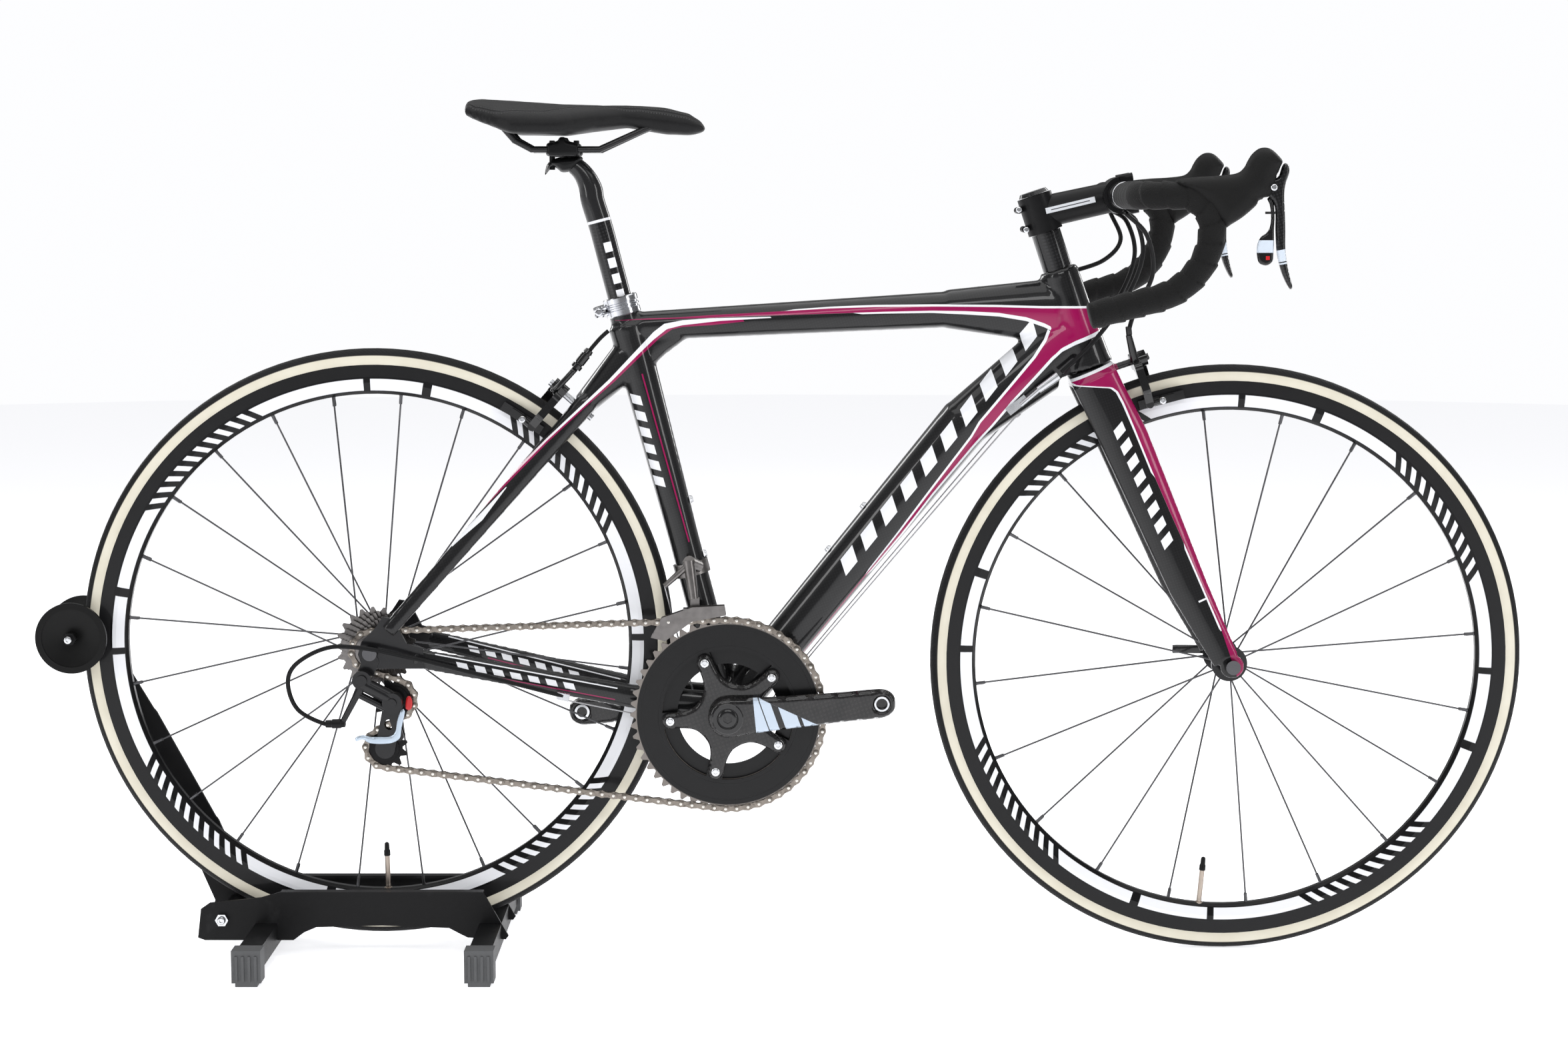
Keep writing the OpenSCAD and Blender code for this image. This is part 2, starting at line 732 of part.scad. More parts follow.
module hood(side) {
    body = [[872, 874], [936, 883], [955, 884], [955, 857], [946, 851], [921, 832], [893, 841]];
    horn = [[930, 880], [944, 899], [955, 907], [967, 907], [979, 896], [977, 890.5], [945, 878]];
    y = side * bar_half;
    difference() {
        union() {
            hull() {
                translate([0, y + 10, 0]) rotate([90, 0, 0]) linear_extrude(20) polygon(body);
                translate([3, y + 17, 2]) rotate([90, 0, 0]) linear_extrude(34)
                    polygon([[886, 868], [946, 875], [948, 860], [922, 842], [900, 849]]);
            }
            hull() {
                translate([0, y + 8, 0]) rotate([90, 0, 0]) linear_extrude(16) polygon(horn);
                translate([0, y + 12, 0]) rotate([90, 0, 0]) linear_extrude(24)
                    polygon([[938, 880], [950, 899], [965, 901], [971, 893], [950, 882]]);
            }
            for (s = [0, 1]) translate([0, y + 9.6 - s * 16.4, 0]) rotate([90, 0, 0])
                linear_extrude(2.8) bar_2d([945, 866], [lever_pivot.x, lever_pivot.z], 7);
        }
        bar_sweep(bar_r, 40);
    }
    translate([lever_pivot.x, y, lever_pivot.z]) rotate([90, 0, 0])
        cylinder(h = 19, r = 2.5, center = true);
}

module hood_right() {
    color([0.04, 0.04, 0.04]) place() hood(-1);
}

module hood_left() {
    color([0.04, 0.04, 0.04]) place() hood(1);
}

module brake_lever(side) {
    blade = [[959.5, 870], [962, 880], [975, 888], [985, 888], [988, 880], [984, 856], [983, 828],
        [985, 804], [993, 762], [990, 758], [985, 760], [976, 804], [973, 828], [972, 846], [965, 852],
        [959.5, 858]];
    y = side * bar_half;
    difference() {
        union() {
            translate([0, y + 4.5, 0]) rotate([90, 0, 0]) linear_extrude(9) polygon(blade);
            translate([lever_pivot.x, y, lever_pivot.z]) rotate([90, 0, 0])
                cylinder(h = 12.8, r = 6.5, center = true);
        }
        translate([lever_pivot.x, y, lever_pivot.z]) rotate([90, 0, 0])
            cylinder(h = 20, r = 2.5 + fit, center = true);
    }
    limb([975, y, 838], [955.5, y, 838], 1.5, 1.5);
}

module brake_lever_right() {
    color([0.05, 0.05, 0.055]) place() brake_lever(-1);
}

module brake_lever_left() {
    color([0.05, 0.05, 0.055]) place() brake_lever(1);
}

module shift_paddle(side) {
    paddle = [[-4, 4], [4, 4], [5, -12], [12, -26], [14, -46], [10, -56], [2, -58], [-4, -50], [-5, -12]];
    y = side * bar_half;
    translate([957, y, 838]) rotate([0, 90, 0]) rotate([0, 0, 90]) difference() {
        linear_extrude(9) scale([-side, 1]) polygon(paddle);
        translate([0, 0, -1]) cylinder(h = 12, r = 1.5 + fit);
    }
}

module shift_paddle_right() {
    color([0.06, 0.06, 0.065]) place() shift_paddle(-1);
}

module shift_paddle_left() {
    color([0.06, 0.06, 0.065]) place() shift_paddle(1);
}

module steering_cables() {
    color([0.03, 0.03, 0.03]) place() {
        both_sides() pipe([[bar_x - 2, 60, 839], [bar_x + 14, 46, 826], [bar_x + 22, 36, 790],
            [bar_x + 6, 31, 745], [bar_x - 30, 30, 695], [766.5, 30, 660.5]], 2.5);
        pipe([[bar_x - 2, -74, 837], [bar_x + 24, -56, 812], [bar_x + 34, -32, 770], [848, -18, 726],
            [842, -17, 706]], 2.5);
        pipe([[bar_x - 2, 74, 837], [bar_x + 8, 54, 806], [bar_x - 14, 31, 783], [776, 30, 768],
            [742, 19, 752]], 2.5);
    }
}

// ---------- brakes ----------

// Local x points away from the frame, local z up, origin on the mounting bolt.
module caliper_arm(side, from, pad_turn) {
    bend = [[0, 0], [side * 27, -6], [side * 31, -32], [side * 19, -49]];
    difference() {
        union() {
            translate([from, 0, 0]) rotate([90, 0, 90]) linear_extrude(9) {
                circle(r = 9);
                for (i = [0:2]) bar_2d(bend[i], bend[i + 1], 6 - i * 0.7);
            }
            translate([from + 4.5, side * 21, -49.7]) rotate([90, 0, 0])
                cylinder(h = 9, r = 4.2, center = true);
            limb([from + 4.5, side * 21, -49.7], [35, side * 21, -49.7], 3.6, 3.6);
            translate([35, side * 14.3, -49.7]) rotate([0, pad_turn, 0])
                cube([52, 5, 10], center = true);
            translate([35, side * 18.5, -49.7]) rotate([0, pad_turn, 0])
                cube([30, 5, 8], center = true);
        }
        rotate([0, 90, 0]) cylinder(h = 100, r = 4 + fit, center = true);
    }
}

module at_front_brake() {
    translate(front_bolt) rotate([0, -18.5, 0]) children();
}

module at_rear_brake() {
    translate(rear_bolt) rotate([0, 41.3, 0]) rotate([0, 0, 180]) children();
}

module front_caliper_right() {
    color([0.06, 0.06, 0.065]) place() at_front_brake() {
        caliper_arm(-1, 16, 4);
        limb([20, -14, 0], [22, -19, 31], 5, 3.5);
    }
}

module front_caliper_left() {
    color([0.06, 0.06, 0.065]) place() at_front_brake() caliper_arm(1, 25.6, 4);
}

module rear_caliper_right() {
    color([0.06, 0.06, 0.065]) place() at_rear_brake() caliper_arm(1, 16, 8);
}

module rear_caliper_left() {
    color([0.06, 0.06, 0.065]) place() at_rear_brake() caliper_arm(-1, 25.6, 8);
}

// ---------- wheels ----------

module tyre() {
    rotate_extrude($fn = 128) difference() {
        translate([tyre_mid_r, 0]) circle(r = tyre_w / 2);
        translate([tyre_mid_r, 0]) circle(r = tyre_w / 2 - 3);
        translate([rim_outer_r - 20, -20]) square([20, 40]);
    }
}

module rim(valve_a) {
    w = rim_half;
    i = rim_inner_r;
    o = rim_outer_r;
    rotate_extrude($fn = 128) polygon([[o, -w], [i + 13, -w], [i + 3, -7], [i, -3.5], [i, 3.5],
        [i + 3, 7], [i + 13, w], [o, w], [o, w - 2], [i + 14, w - 2], [i + 5, 5], [i + 3, 2.5],
        [i + 3, -2.5], [i + 5, -5], [i + 14, 2 - w], [o, 2 - w]]);
    rotate([0, 0, valve_a]) translate([i + 1, 0, 0]) rotate([0, -90, 0]) cylinder(h = 42, r = 2.6);
}

// One side of a spoked wheel. `cross` turns the rim end round the wheel.
module spoke_set(count, first, flange_r, flange_z, cross) {
    for (i = [0:count - 1]) {
        a = first + i * 360 / count;
        c = a + cross * (i % 2 == 0 ? 1 : -1);
        z = flange_z + (cross == 0 ? 0 : (i % 2 == 0 ? 2.3 : -2.3));
        hub_end = [flange_r * cos(c), flange_r * sin(c), z];
        rim_end = [(rim_inner_r + 1.5) * cos(a), (rim_inner_r + 1.5) * sin(a), sign(flange_z) * 1.2];
        v = hub_end - rim_end;
        limb(hub_end, rim_end, spoke_r, spoke_r);
        limb(rim_end, rim_end + 12 * v / norm(v), 1.8, 1.8);
    }
}

module tyre_front() {
    color([0.05, 0.05, 0.05]) place() at_front() tyre();
}

module rim_front() {
    color([0.06, 0.06, 0.065]) place() at_front() rim(-95);
}

module spokes_front() {
    color([0.1, 0.1, 0.11]) place() at_front() {
        spoke_set(front_spokes / 2, 95.9, 17, 33, 0);
        spoke_set(front_spokes / 2, 77.8, 17, -33, 0);
    }
}

module hub_front() {
    color([0.09, 0.09, 0.1]) place() at_front() difference() {
        union() {
            cylinder(h = 62, r = 11, center = true);
            for (z = [-35, 31]) translate([0, 0, z]) cylinder(h = 4, r = 20);
            cylinder(h = 93, r = 9, center = true);
        }
        cylinder(h = 100, r = 5 + fit, center = true);
    }
}

module axle_front() {
    color([0.7, 0.71, 0.73]) place() at_front() {
        cylinder(h = 2 * front_half, r = 5, center = true);
        cylinder(h = 2 * front_half + 13, r = 4.6, center = true);
        cylinder(h = 2 * front_half + 18, r = 2.5, center = true);
        for (s = [0, 1]) mirror([0, 0, s]) translate([0, 0, 47]) cylinder(h = 3, r = 8);
        translate([0, 0, front_half + 6]) cylinder(h = 9, r = 8);
        mirror([0, 0, 1]) translate([0, 0, front_half + 6]) qr_yoke();
    }
}

// Yoke that carries the cam lever; local z points out of the bike.
module qr_yoke() {
    cylinder(h = 2.5, r = 9);
    for (s = [0, 1]) mirror([0, s, 0]) translate([0, 9, 0]) rotate([90, 0, 0]) linear_extrude(2)
        bar_2d([0, 4], [0, qr_pin], 6);
    translate([0, 0, qr_pin]) rotate([90, 0, 0]) cylinder(h = 16, r = 2.5, center = true);
}

// Cam lever, closed, with its handle pointing backwards.
module qr_lever() {
    translate([0, 0, qr_pin]) rotate([90, 0, 0]) difference() {
        union() {
            cylinder(h = 13, r = 7, center = true);
            translate([0, 0, -4.5]) linear_extrude(9) polygon([[0, 5], [-12, 3.5], [-44, 5],
                [-50, 3.5], [-50, 0], [-44, 0], [-12, -2.5], [0, -5]]);
        }
        cylinder(h = 20, r = 2.5 + fit, center = true);
    }
}

module qr_lever_front() {
    color([0.7, 0.71, 0.73]) place() at_front() mirror([0, 0, 1])
        translate([0, 0, front_half + 6]) qr_lever();
}

module tyre_rear() {
    color([0.05, 0.05, 0.05]) place() at_rear() tyre();
}

module rim_rear() {
    color([0.06, 0.06, 0.065]) place() at_rear() rim(-88.8);
}

module spokes_rear() {
    color([0.1, 0.1, 0.11]) place() at_rear() {
        spoke_set(rear_spokes / 2, 99.5, 22, 19, 52);
        spoke_set(rear_spokes / 2, 84.1, 19, -36, 0);
    }
}

module hub_rear() {
    color([0.09, 0.09, 0.1]) place() at_rear() difference() {
        union() {
            translate([0, 0, -38]) cylinder(h = 58, r = 13);
            translate([0, 0, 17]) cylinder(h = 4, r = 25.5);
            translate([0, 0, -38]) cylinder(h = 4, r = 22);
            translate([0, 0, -61.5]) cylinder(h = 24, r = 10);
        }
        cylinder(h = 140, r = 5 + fit, center = true);
    }
}

module axle_rear() {
    color([0.7, 0.71, 0.73]) place() at_rear() {
        cylinder(h = 2 * rear_half + 9.8, r = 5, center = true);
        cylinder(h = 2 * rear_half + 17, r = 2.5, center = true);
        for (s = [0, 1]) mirror([0, 0, s]) translate([0, 0, 62.2]) cylinder(h = 2.8, r = 8);
        translate([0, 0, rear_half + 6]) cylinder(h = 8, r = 8);
        mirror([0, 0, 1]) translate([0, 0, rear_half + 5]) qr_yoke();
    }
}

module qr_lever_rear() {
    color([0.7, 0.71, 0.73]) place() at_rear() mirror([0, 0, 1])
        translate([0, 0, rear_half + 5]) qr_lever();
}

module cassette() {
    color([0.3, 0.3, 0.31]) place() at_rear() difference() {
        union() {
            translate([0, 0, 22.4]) cylinder(h = 38.6, r = 16.6);
            translate([0, 0, 61]) cylinder(h = 0.9, r = 14);
            for (i = [0:len(cogs) - 1]) translate([0, 0, cog_y - i * cog_step])
                linear_extrude(1.8, center = true) tooth_2d(cogs[i]);
        }
        cylinder(h = 140, r = 5 + fit, center = true);
    }
}

// ---------- crankset ----------

arm_lean = 5.5;

module arm_2d(root_r) {
    difference() {
        union() {
            circle(r = root_r);
            polygon([[0, root_r], [60, 17], [120, 15], [crank_len, 17.5], [crank_len, -17.5], [120, -15],
                [60, -17], [0, -root_r]]);
            translate([crank_len, 0]) circle(r = 17.5);
        }
        translate([crank_len, 0]) circle(r = 7.14);
    }
}

module crank_right() {
    color([0.05, 0.05, 0.055]) place() at_bb() {
        translate([0, 0, 60]) rotate([0, 0, arm_lean]) linear_extrude(13) arm_2d(22);
        translate([0, 0, 42]) cylinder(h = 18.5, r = 20);
        for (i = [0:4]) rotate([0, 0, arm_lean + 36 + 72 * i]) translate([0, 0, 48])
            linear_extrude(5) bar_2d([10, 0], [65, 0], 9);
        translate([0, 0, -72]) cylinder(h = 133, r = spindle_r);
        translate([0, 0, 72]) cylinder(h = 3, r = 14);
    }
}

module ring_2d(teeth, inner) {
    difference() {
        tooth_2d(teeth);
        circle(r = inner);
    }
}

module chainrings() {
    color([0.08, 0.08, 0.085]) place() at_bb() {
        translate([0, 0, ring_y]) linear_extrude(2, center = true) ring_2d(big_ring, 74);
        translate([0, 0, ring_y - 7.5]) linear_extrude(2, center = true) ring_2d(small_ring, 57);
        for (i = [0:4]) rotate([0, 0, arm_lean + 36 + 72 * i]) {
            translate([65, 0, 37.5]) cylinder(h = 10.5, r = 6);
            translate([65, 0, 45]) linear_extrude(2) bar_2d([0, 0], [12, 0], 9);
            translate([65, 0, 53]) cylinder(h = 2, r = 6);
        }
    }
}

module crank_left() {
    color([0.05, 0.05, 0.055]) place() at_bb() mirror([0, 0, 1]) difference() {
        union() {
            translate([0, 0, 60]) rotate([0, 0, 180 + arm_lean]) linear_extrude(13) arm_2d(20);
            translate([0, 0, 38]) cylinder(h = 22.5, r = 17);
        }
        cylinder(h = 72, r = spindle_r);
    }
}

// ---------- what to draw ----------

stand_plates();
stand_legs();
stand_feet();
stand_bolts();
stand_arm();
stand_roller();
head_tube();
top_tube();
down_tube();
seat_tube();
bottom_bracket();
chain_stays();
seat_stays();
dropouts();
seat_clamp();
frame_fittings();
front_derailleur();
rear_derailleur();
derailleur_cage();
guide_pulley();
tension_pulley();
chain();
frame_cables();
seatpost();
saddle_clamp();
saddle_rails();
saddle();
fork();
headset_spacers();
stem();
stem_faceplate();
handlebar();
bar_tape();
hood_right();
hood_left();
brake_lever_right();
brake_lever_left();
shift_paddle_right();
shift_paddle_left();
steering_cables();
front_caliper_right();
front_caliper_left();
rear_caliper_right();
rear_caliper_left();
tyre_front();
rim_front();
spokes_front();
hub_front();
axle_front();
qr_lever_front();
tyre_rear();
rim_rear();
spokes_rear();
hub_rear();
axle_rear();
qr_lever_rear();
cassette();
crank_right();
chainrings();
crank_left();
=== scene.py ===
"""Road racing bicycle held by a wheel stand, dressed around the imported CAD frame."""
import math

import bmesh
import bpy
import mathutils.geometry
import numpy as np
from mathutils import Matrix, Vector


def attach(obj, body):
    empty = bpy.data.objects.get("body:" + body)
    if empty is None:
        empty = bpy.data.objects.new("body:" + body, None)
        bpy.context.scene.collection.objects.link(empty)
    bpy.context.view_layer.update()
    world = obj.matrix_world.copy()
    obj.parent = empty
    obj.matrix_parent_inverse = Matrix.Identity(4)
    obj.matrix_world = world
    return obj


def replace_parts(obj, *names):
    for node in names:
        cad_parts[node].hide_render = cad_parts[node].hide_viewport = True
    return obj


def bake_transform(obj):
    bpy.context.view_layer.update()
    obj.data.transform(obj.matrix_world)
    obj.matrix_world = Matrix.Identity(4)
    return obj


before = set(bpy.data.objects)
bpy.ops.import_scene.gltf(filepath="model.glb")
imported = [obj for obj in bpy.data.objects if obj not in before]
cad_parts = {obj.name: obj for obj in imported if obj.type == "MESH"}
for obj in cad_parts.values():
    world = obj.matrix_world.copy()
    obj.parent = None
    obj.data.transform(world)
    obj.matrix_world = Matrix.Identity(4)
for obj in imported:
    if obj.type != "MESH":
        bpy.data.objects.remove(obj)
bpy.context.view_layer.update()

# ---------- frame of the CAD source ----------

MM = 0.001
X_MID = 455.25  # forward of the rear axle, in millimetres
REAR_AXLE = (0.0, 352.0)
FRONT_AXLE = (958.0, 334.0)
BB = (396.0, 278.0)
SEAT_ANGLE = math.radians(75.4)  # of the seat tube, from the floor
ARM_LEAN = math.radians(5.5)  # of the right crank, above level


def at(x, y, z):
    """A point given from the rear axle, in millimetres, as a place in the frame."""
    return Vector(((x - X_MID) * MM, y * MM, z * MM))


# ---------- material helpers ----------


class Value:
    """A number that varies over a surface, in one material's node tree."""

    def __init__(self, tree, socket):
        self.tree, self.socket = tree, socket

    def op(self, kind, *others, clamp=False):
        node = self.tree.nodes.new("ShaderNodeMath")
        node.operation = kind
        node.use_clamp = clamp
        for i, v in enumerate((self,) + others):
            if isinstance(v, Value):
                self.tree.links.new(v.socket, node.inputs[i])
            else:
                node.inputs[i].default_value = v
        return Value(self.tree, node.outputs[0])

    def __add__(self, o):
        return self.op("ADD", o)

    def __sub__(self, o):
        return self.op("SUBTRACT", o)

    def __mul__(self, o):
        return self.op("MULTIPLY", o)

    def either(self, o):
        return self.op("MAXIMUM", o)

    def both(self, o):
        return self.op("MINIMUM", o)

    def above(self, edge, soft=0.25):
        """1 above the edge, 0 below it."""
        return (self - edge).op("MULTIPLY_ADD", 1 / soft, 0.5, clamp=True)

    def below(self, edge, soft=0.25):
        return (self - edge).op("MULTIPLY_ADD", -1 / soft, 0.5, clamp=True)

    def within(self, low, high, soft=0.25):
        return self.above(low, soft).both(self.below(high, soft))

    def curve(self, points):
        """Reads a smooth curve through the points at this value."""
        xs, ys = [p[0] for p in points], [p[1] for p in points]
        x0, dx = min(xs), max(xs) - min(xs)
        y0, dy = min(ys), max(max(ys) - min(ys), 1e-6)
        node = self.tree.nodes.new("ShaderNodeFloatCurve")
        line = node.mapping.curves[0]
        scaled = sorted(((x - x0) / dx, (y - y0) / dy) for x, y in points)
        line.points[0].location = scaled[0]
        line.points[1].location = scaled[-1]
        for p in scaled[1:-1]:
            line.points.new(*p)
        for p in line.points:
            p.handle_type = "VECTOR"
        node.mapping.update()
        self.tree.links.new(((self - x0) * (1 / dx)).socket, node.inputs["Value"])
        return Value(self.tree, node.outputs[0]) * dy + y0


def mix(tree, share, a, b):
    node = tree.nodes.new("ShaderNodeMix")
    node.data_type = "RGBA"
    for i, v in ((0, share), (6, a), (7, b)):
        if isinstance(v, Value):
            tree.links.new(v.socket, node.inputs[i])
        else:
            node.inputs[i].default_value = v if i == 0 else (*v, 1)
    return Value(tree, node.outputs[2])


class Surface:
    """A procedural material with a little colour variation and fine relief everywhere."""

    def __init__(self, name, color, rough=0.5, metal=0.0, vary=0.12, patch=60, grain=900, relief=0.00003,
                 rough_vary=0.06, **sockets):
        self.material = bpy.data.materials.new(name)
        self.material.use_nodes = True
        self.tree = self.material.node_tree
        self.shader = self.tree.nodes["Principled BSDF"]
        if max(color) < 0.05:
            self.shader.inputs["Specular IOR Level"].default_value = 0.15
        self.place = self.tree.nodes.new("ShaderNodeTexCoord").outputs["Object"]
        self.shader.inputs["Metallic"].default_value = metal
        for key, v in sockets.items():
            self.shader.inputs[key.replace("_", " ")].default_value = v
        cloud = self.noise(patch, 3)
        dark = [c * (1 - vary) for c in color]
        light = [min(1, c * (1 + vary)) for c in color]
        self.color = mix(self.tree, cloud, dark, light)
        self.rough = cloud * (2 * rough_vary) + (rough - rough_vary)
        self.height = self.noise(grain, 2) * relief

    def noise(self, scale, detail=2.0):
        node = self.tree.nodes.new("ShaderNodeTexNoise")
        node.inputs["Scale"].default_value = scale
        node.inputs["Detail"].default_value = detail
        self.tree.links.new(self.place, node.inputs["Vector"])
        return Value(self.tree, node.outputs[0])

    def cells(self, scale):
        node = self.tree.nodes.new("ShaderNodeTexVoronoi")
        node.inputs["Scale"].default_value = scale
        self.tree.links.new(self.place, node.inputs["Vector"])
        return Value(self.tree, node.outputs["Distance"])

    def xyz(self):
        """The point's x, y and z in millimetres, from the rear axle."""
        split = self.tree.nodes.new("ShaderNodeSeparateXYZ")
        self.tree.links.new(self.place, split.inputs[0])
        x, y, z = (Value(self.tree, split.outputs[i]) * 1000 for i in range(3))
        return x + X_MID, y, z

    def around(self, centre):
        """Distance from a wheel's or crank's axle, then the offsets along X and Z."""
        x, _, z = self.xyz()
        dx, dz = x - centre[0], z - centre[1]
        return (dx * dx + dz * dz).op("SQRT"), dx, dz

    def paint(self, share, color):
        self.color = mix(self.tree, share, self.color, color)
        return self

    def finish(self):
        bump = self.tree.nodes.new("ShaderNodeBump")
        bump.inputs["Distance"].default_value = 1.0
        bump.inputs["Strength"].default_value = 1.0
        self.tree.links.new(self.height.socket, bump.inputs["Height"])
        self.tree.links.new(bump.outputs[0], self.shader.inputs["Normal"])
        self.tree.links.new(self.color.socket, self.shader.inputs["Base Color"])
        self.tree.links.new(self.rough.socket, self.shader.inputs["Roughness"])
        return self.material


BLACK = (0.006, 0.006, 0.0065)
WHITE = (0.78, 0.79, 0.82)
MAGENTA = (0.27, 0.0025, 0.07)
PINK = (0.72, 0.33, 0.42)


def turned(x, z, origin, along):
    """Distances along and across a slanting line, from plain x and z."""
    length = math.hypot(*along)
    c, s = along[0] / length, along[1] / length
    x, z = x - origin[0], z - origin[1]
    return x * c + z * s, z * c - x * s


def weave(x, z, pitch=1.6, depth=0.5):
    """Carbon twill: slanting cells that catch the light in turn."""
    a = ((x + z * 0.35) * (1 / pitch)).op("PINGPONG", 1.0)
    b = ((z - x * 0.35) * (1 / pitch)).op("PINGPONG", 1.0)
    return (a * b).above(0.35, 0.5) * depth


def lacquer(name):
    return Surface(name, BLACK, rough=0.32, vary=0.3, patch=25, relief=0.000004, rough_vary=0.04,
                   Coat_Weight=1.0, Coat_Roughness=0.03, Coat_IOR=1.34)


# where each white bar starts along its tube, and its length
BARS_DOWN_TUBE = [(24 + 34 * i, 20) for i in range(10)]
BARS_SEAT_TUBE = [(22 + 19 * i, 11) for i in range(6)]
BARS_CHAIN_STAY = [(36 + 20 * i, 12) for i in range(7)]
BARS_FORK = [(42 + 19 * i, 11) for i in range(8)]


def frame_paint():
    """Bands and lines that follow the tubes, painted in the side view."""
    s = lacquer("frame_lacquer")
    x, y, z = s.xyz()
    s.paint(weave(x, z) * 0.45, (0.022, 0.022, 0.024))
    white_along = []
    # band along the top tube, widening into the panel on the head tube
    upper = [(270, 717.6), (311, 720), (338, 720.8), (377, 723.5), (419, 725.7), (460, 728.1), (509, 731),
             (560, 732.6), (624, 733.3), (694, 732.7), (745, 731.3), (850, 731)]
    lower = [(270, 717.4), (311, 718.6), (377, 720.6), (419, 722.4), (460, 723.7), (509, 725.2), (571, 727.4),
             (624, 728.6), (660, 728.1), (697, 726.2), (728, 721.3), (748, 714.5), (757, 710), (758, 678.5),
             (767, 687.2), (782, 694.9), (806, 705), (850, 723)]
    z_up, z_low = x.curve(upper), x.curve(lower)
    panel = z.within(z_low, z_up).both(x.within(270, 850))
    grow_up = x.curve([(270, 0), (459, 0), (470, 1.2), (540, 2.2), (850, 2.6)])
    grow_low = x.curve([(270, 0), (535, 0), (545, 1.8), (620, 2.4), (660, 3.6), (728, 4.2), (850, 4.6)])
    white_along.append(z.within(z_low - grow_low, z_up + grow_up).both(x.within(455, 850)))
    # stripe that runs down the lower side of the down tube
    u, v = turned(x, z, (520, 388.5), (255, 273.5))
    left = u.curve([(-60, -1.2), (-8, 3.2), (52, 8.2), (61, 8.6), (113, 13), (173, 19.8), (247, 27.6),
                    (265, 31.9), (328, 35.1), (359, 36.7), (381, 40.4), (400, 48)])
    right = u.curve([(-60, -2.2), (-8, 1.8), (52, 6.6), (61, 6.9), (113, 10), (169, 16.0), (240, 20.2),
                     (271, 20.9), (306, 23.3), (345, 23.6), (371, 24.2), (387, 23.1), (400, 23)])
    stripe = v.within(right, left).both(u.within(-60, 398))
    edge = u.curve([(-60, 0), (52, 0), (60, 1.4), (130, 2.2), (320, 2.8), (400, 3.6)])
    white_along.append(v.within(right - edge, left + edge).both(u.within(52, 392)))
    # line that leaves the top tube and follows the upper side of the seat stays
    p, q = turned(x, z, (20, 387), (1, 1))
    w_up = p.curve([(-20, 3), (14, 12.6), (95, 18.6), (264, 18.4), (324, 16.4), (360, 15.2), (407, 16.6),
                    (432, 17.3), (447, 15.3), (464, 3.8), (488, -17.1), (536, -62.6)])
    w_low = p.curve([(-20, 1), (14, 9), (95, 15.6), (264, 16.2), (324, 13.6), (357, 11.9), (402, 11.8),
                     (426, 11.2), (445, 9), (460, 0), (493, -26.2), (535, -63.4)])
    m_low = p.curve([(-20, -1), (14, 5.8), (95, 12.8), (264, 14.4), (323, 12.1), (363, 9.2), (405, 8.6),
                     (432, 7.8), (449, 4.8), (459, -1.6), (483, -22.8), (510, -44.4), (536, -64.5)])
    stay_white = q.within(w_low, w_up).both(p.within(-18, 536))
    stay_line = q.within(m_low, w_low).both(p.within(-18, 512))
    white_along.append(stay_white)
    # tapering blade of white low on each seat stay
    blade_low = p.curve([(95, 8.6), (120, 7.5), (152, 5), (200, 12)])
    blade = q.within(blade_low, p.curve([(95, 9), (120, 11), (200, 12.4)]))
    white_along.append(blade.both(p.within(108, 196)))
    # thin line down the seat tube, and one along the chain stays
    seat_u, seat_v = turned(x, z, (302.4, 652.7), (49, -180))
    seat_line = seat_v.within(-1.2, 0.4).both(seat_u.within(-6, 190))
    stay_u, stay_v = turned(x, z, (60, 345), (226, -49))
    white_along.append(stay_v.within(6.4, 7.6).both(stay_u.within(10, 215)))
    low_line = stay_v.within(-6.6, -5.4).both(stay_u.within(60, 215))
    # plain slanting bars on the down tube, seat tube and chain stays
    slant = u - v * 0.55
    for start, size in BARS_DOWN_TUBE:
        white_along.append(slant.within(start, start + size).both(
            v.within(u.curve([(0, 21), (350, 49)]), u.curve([(0, 37), (350, 66)]))))
    for start, size in BARS_SEAT_TUBE:
        white_along.append((seat_u - seat_v * 0.5).within(start, start + size).both(seat_v.within(-20, -9)))
    for start, size in BARS_CHAIN_STAY:
        white_along.append((stay_u + stay_v * 0.6).within(start, start + size).both(stay_v.within(-3.4, 3.2)))
    whites = white_along[0]
    for w in white_along[1:]:
        whites = whites.either(w)
    s.paint(whites.op("MAXIMUM", 0.0, clamp=True), WHITE)
    s.paint(stay_line.either(seat_line).either(low_line), MAGENTA)
    s.paint(panel.either(stripe), MAGENTA)
    fade = stay_white.both(p.within(-18, 262, 60)) * (s.noise(140, 4) * 0.5 + 0.25)
    s.paint(fade, PINK)
    return s.finish()


def fork_paint():
    """Magenta on the leading side of the blades, edged in white, with bars on the black beside it."""
    s = lacquer("fork_lacquer")
    x, y, z = s.xyz()
    s.paint(weave(x, z) * 0.45, (0.022, 0.022, 0.024))
    u, v = turned(x, z, (820, 650), (138, -316))
    inner = u.curve([(-40, -60), (-11, -34.6), (-6, -24), (2, -8), (6, 0), (13, 4), (27, 5.2), (60, 5),
                     (110, 4), (160, 4.2), (204, 4.9), (300, 5), (345, 1.5)])
    white = v.above(inner - u.curve([(-40, 3), (20, 2.6), (60, 2.2), (110, 2.0), (117, 0), (196, 0),
                                     (203, 2), (300, 2), (305, 0), (345, 0)]))
    ring = u.below(-15.5)
    s.paint(white.both(u.below(303)), WHITE)
    s.paint(v.above(inner), MAGENTA)
    s.paint(v.above(17), (0.02, 0.02, 0.022))
    s.paint(ring, WHITE)
    s.paint(u.below(-18.6).both(v.below(200)), BLACK)
    for start, size in BARS_FORK:
        s.paint((u + v * 0.5).within(start, start + size).both(v.within(-18, -5)), WHITE)
    cross = u.within(262, 264).both(v.within(-6, 5))
    s.paint(cross, WHITE)
    return s.finish()


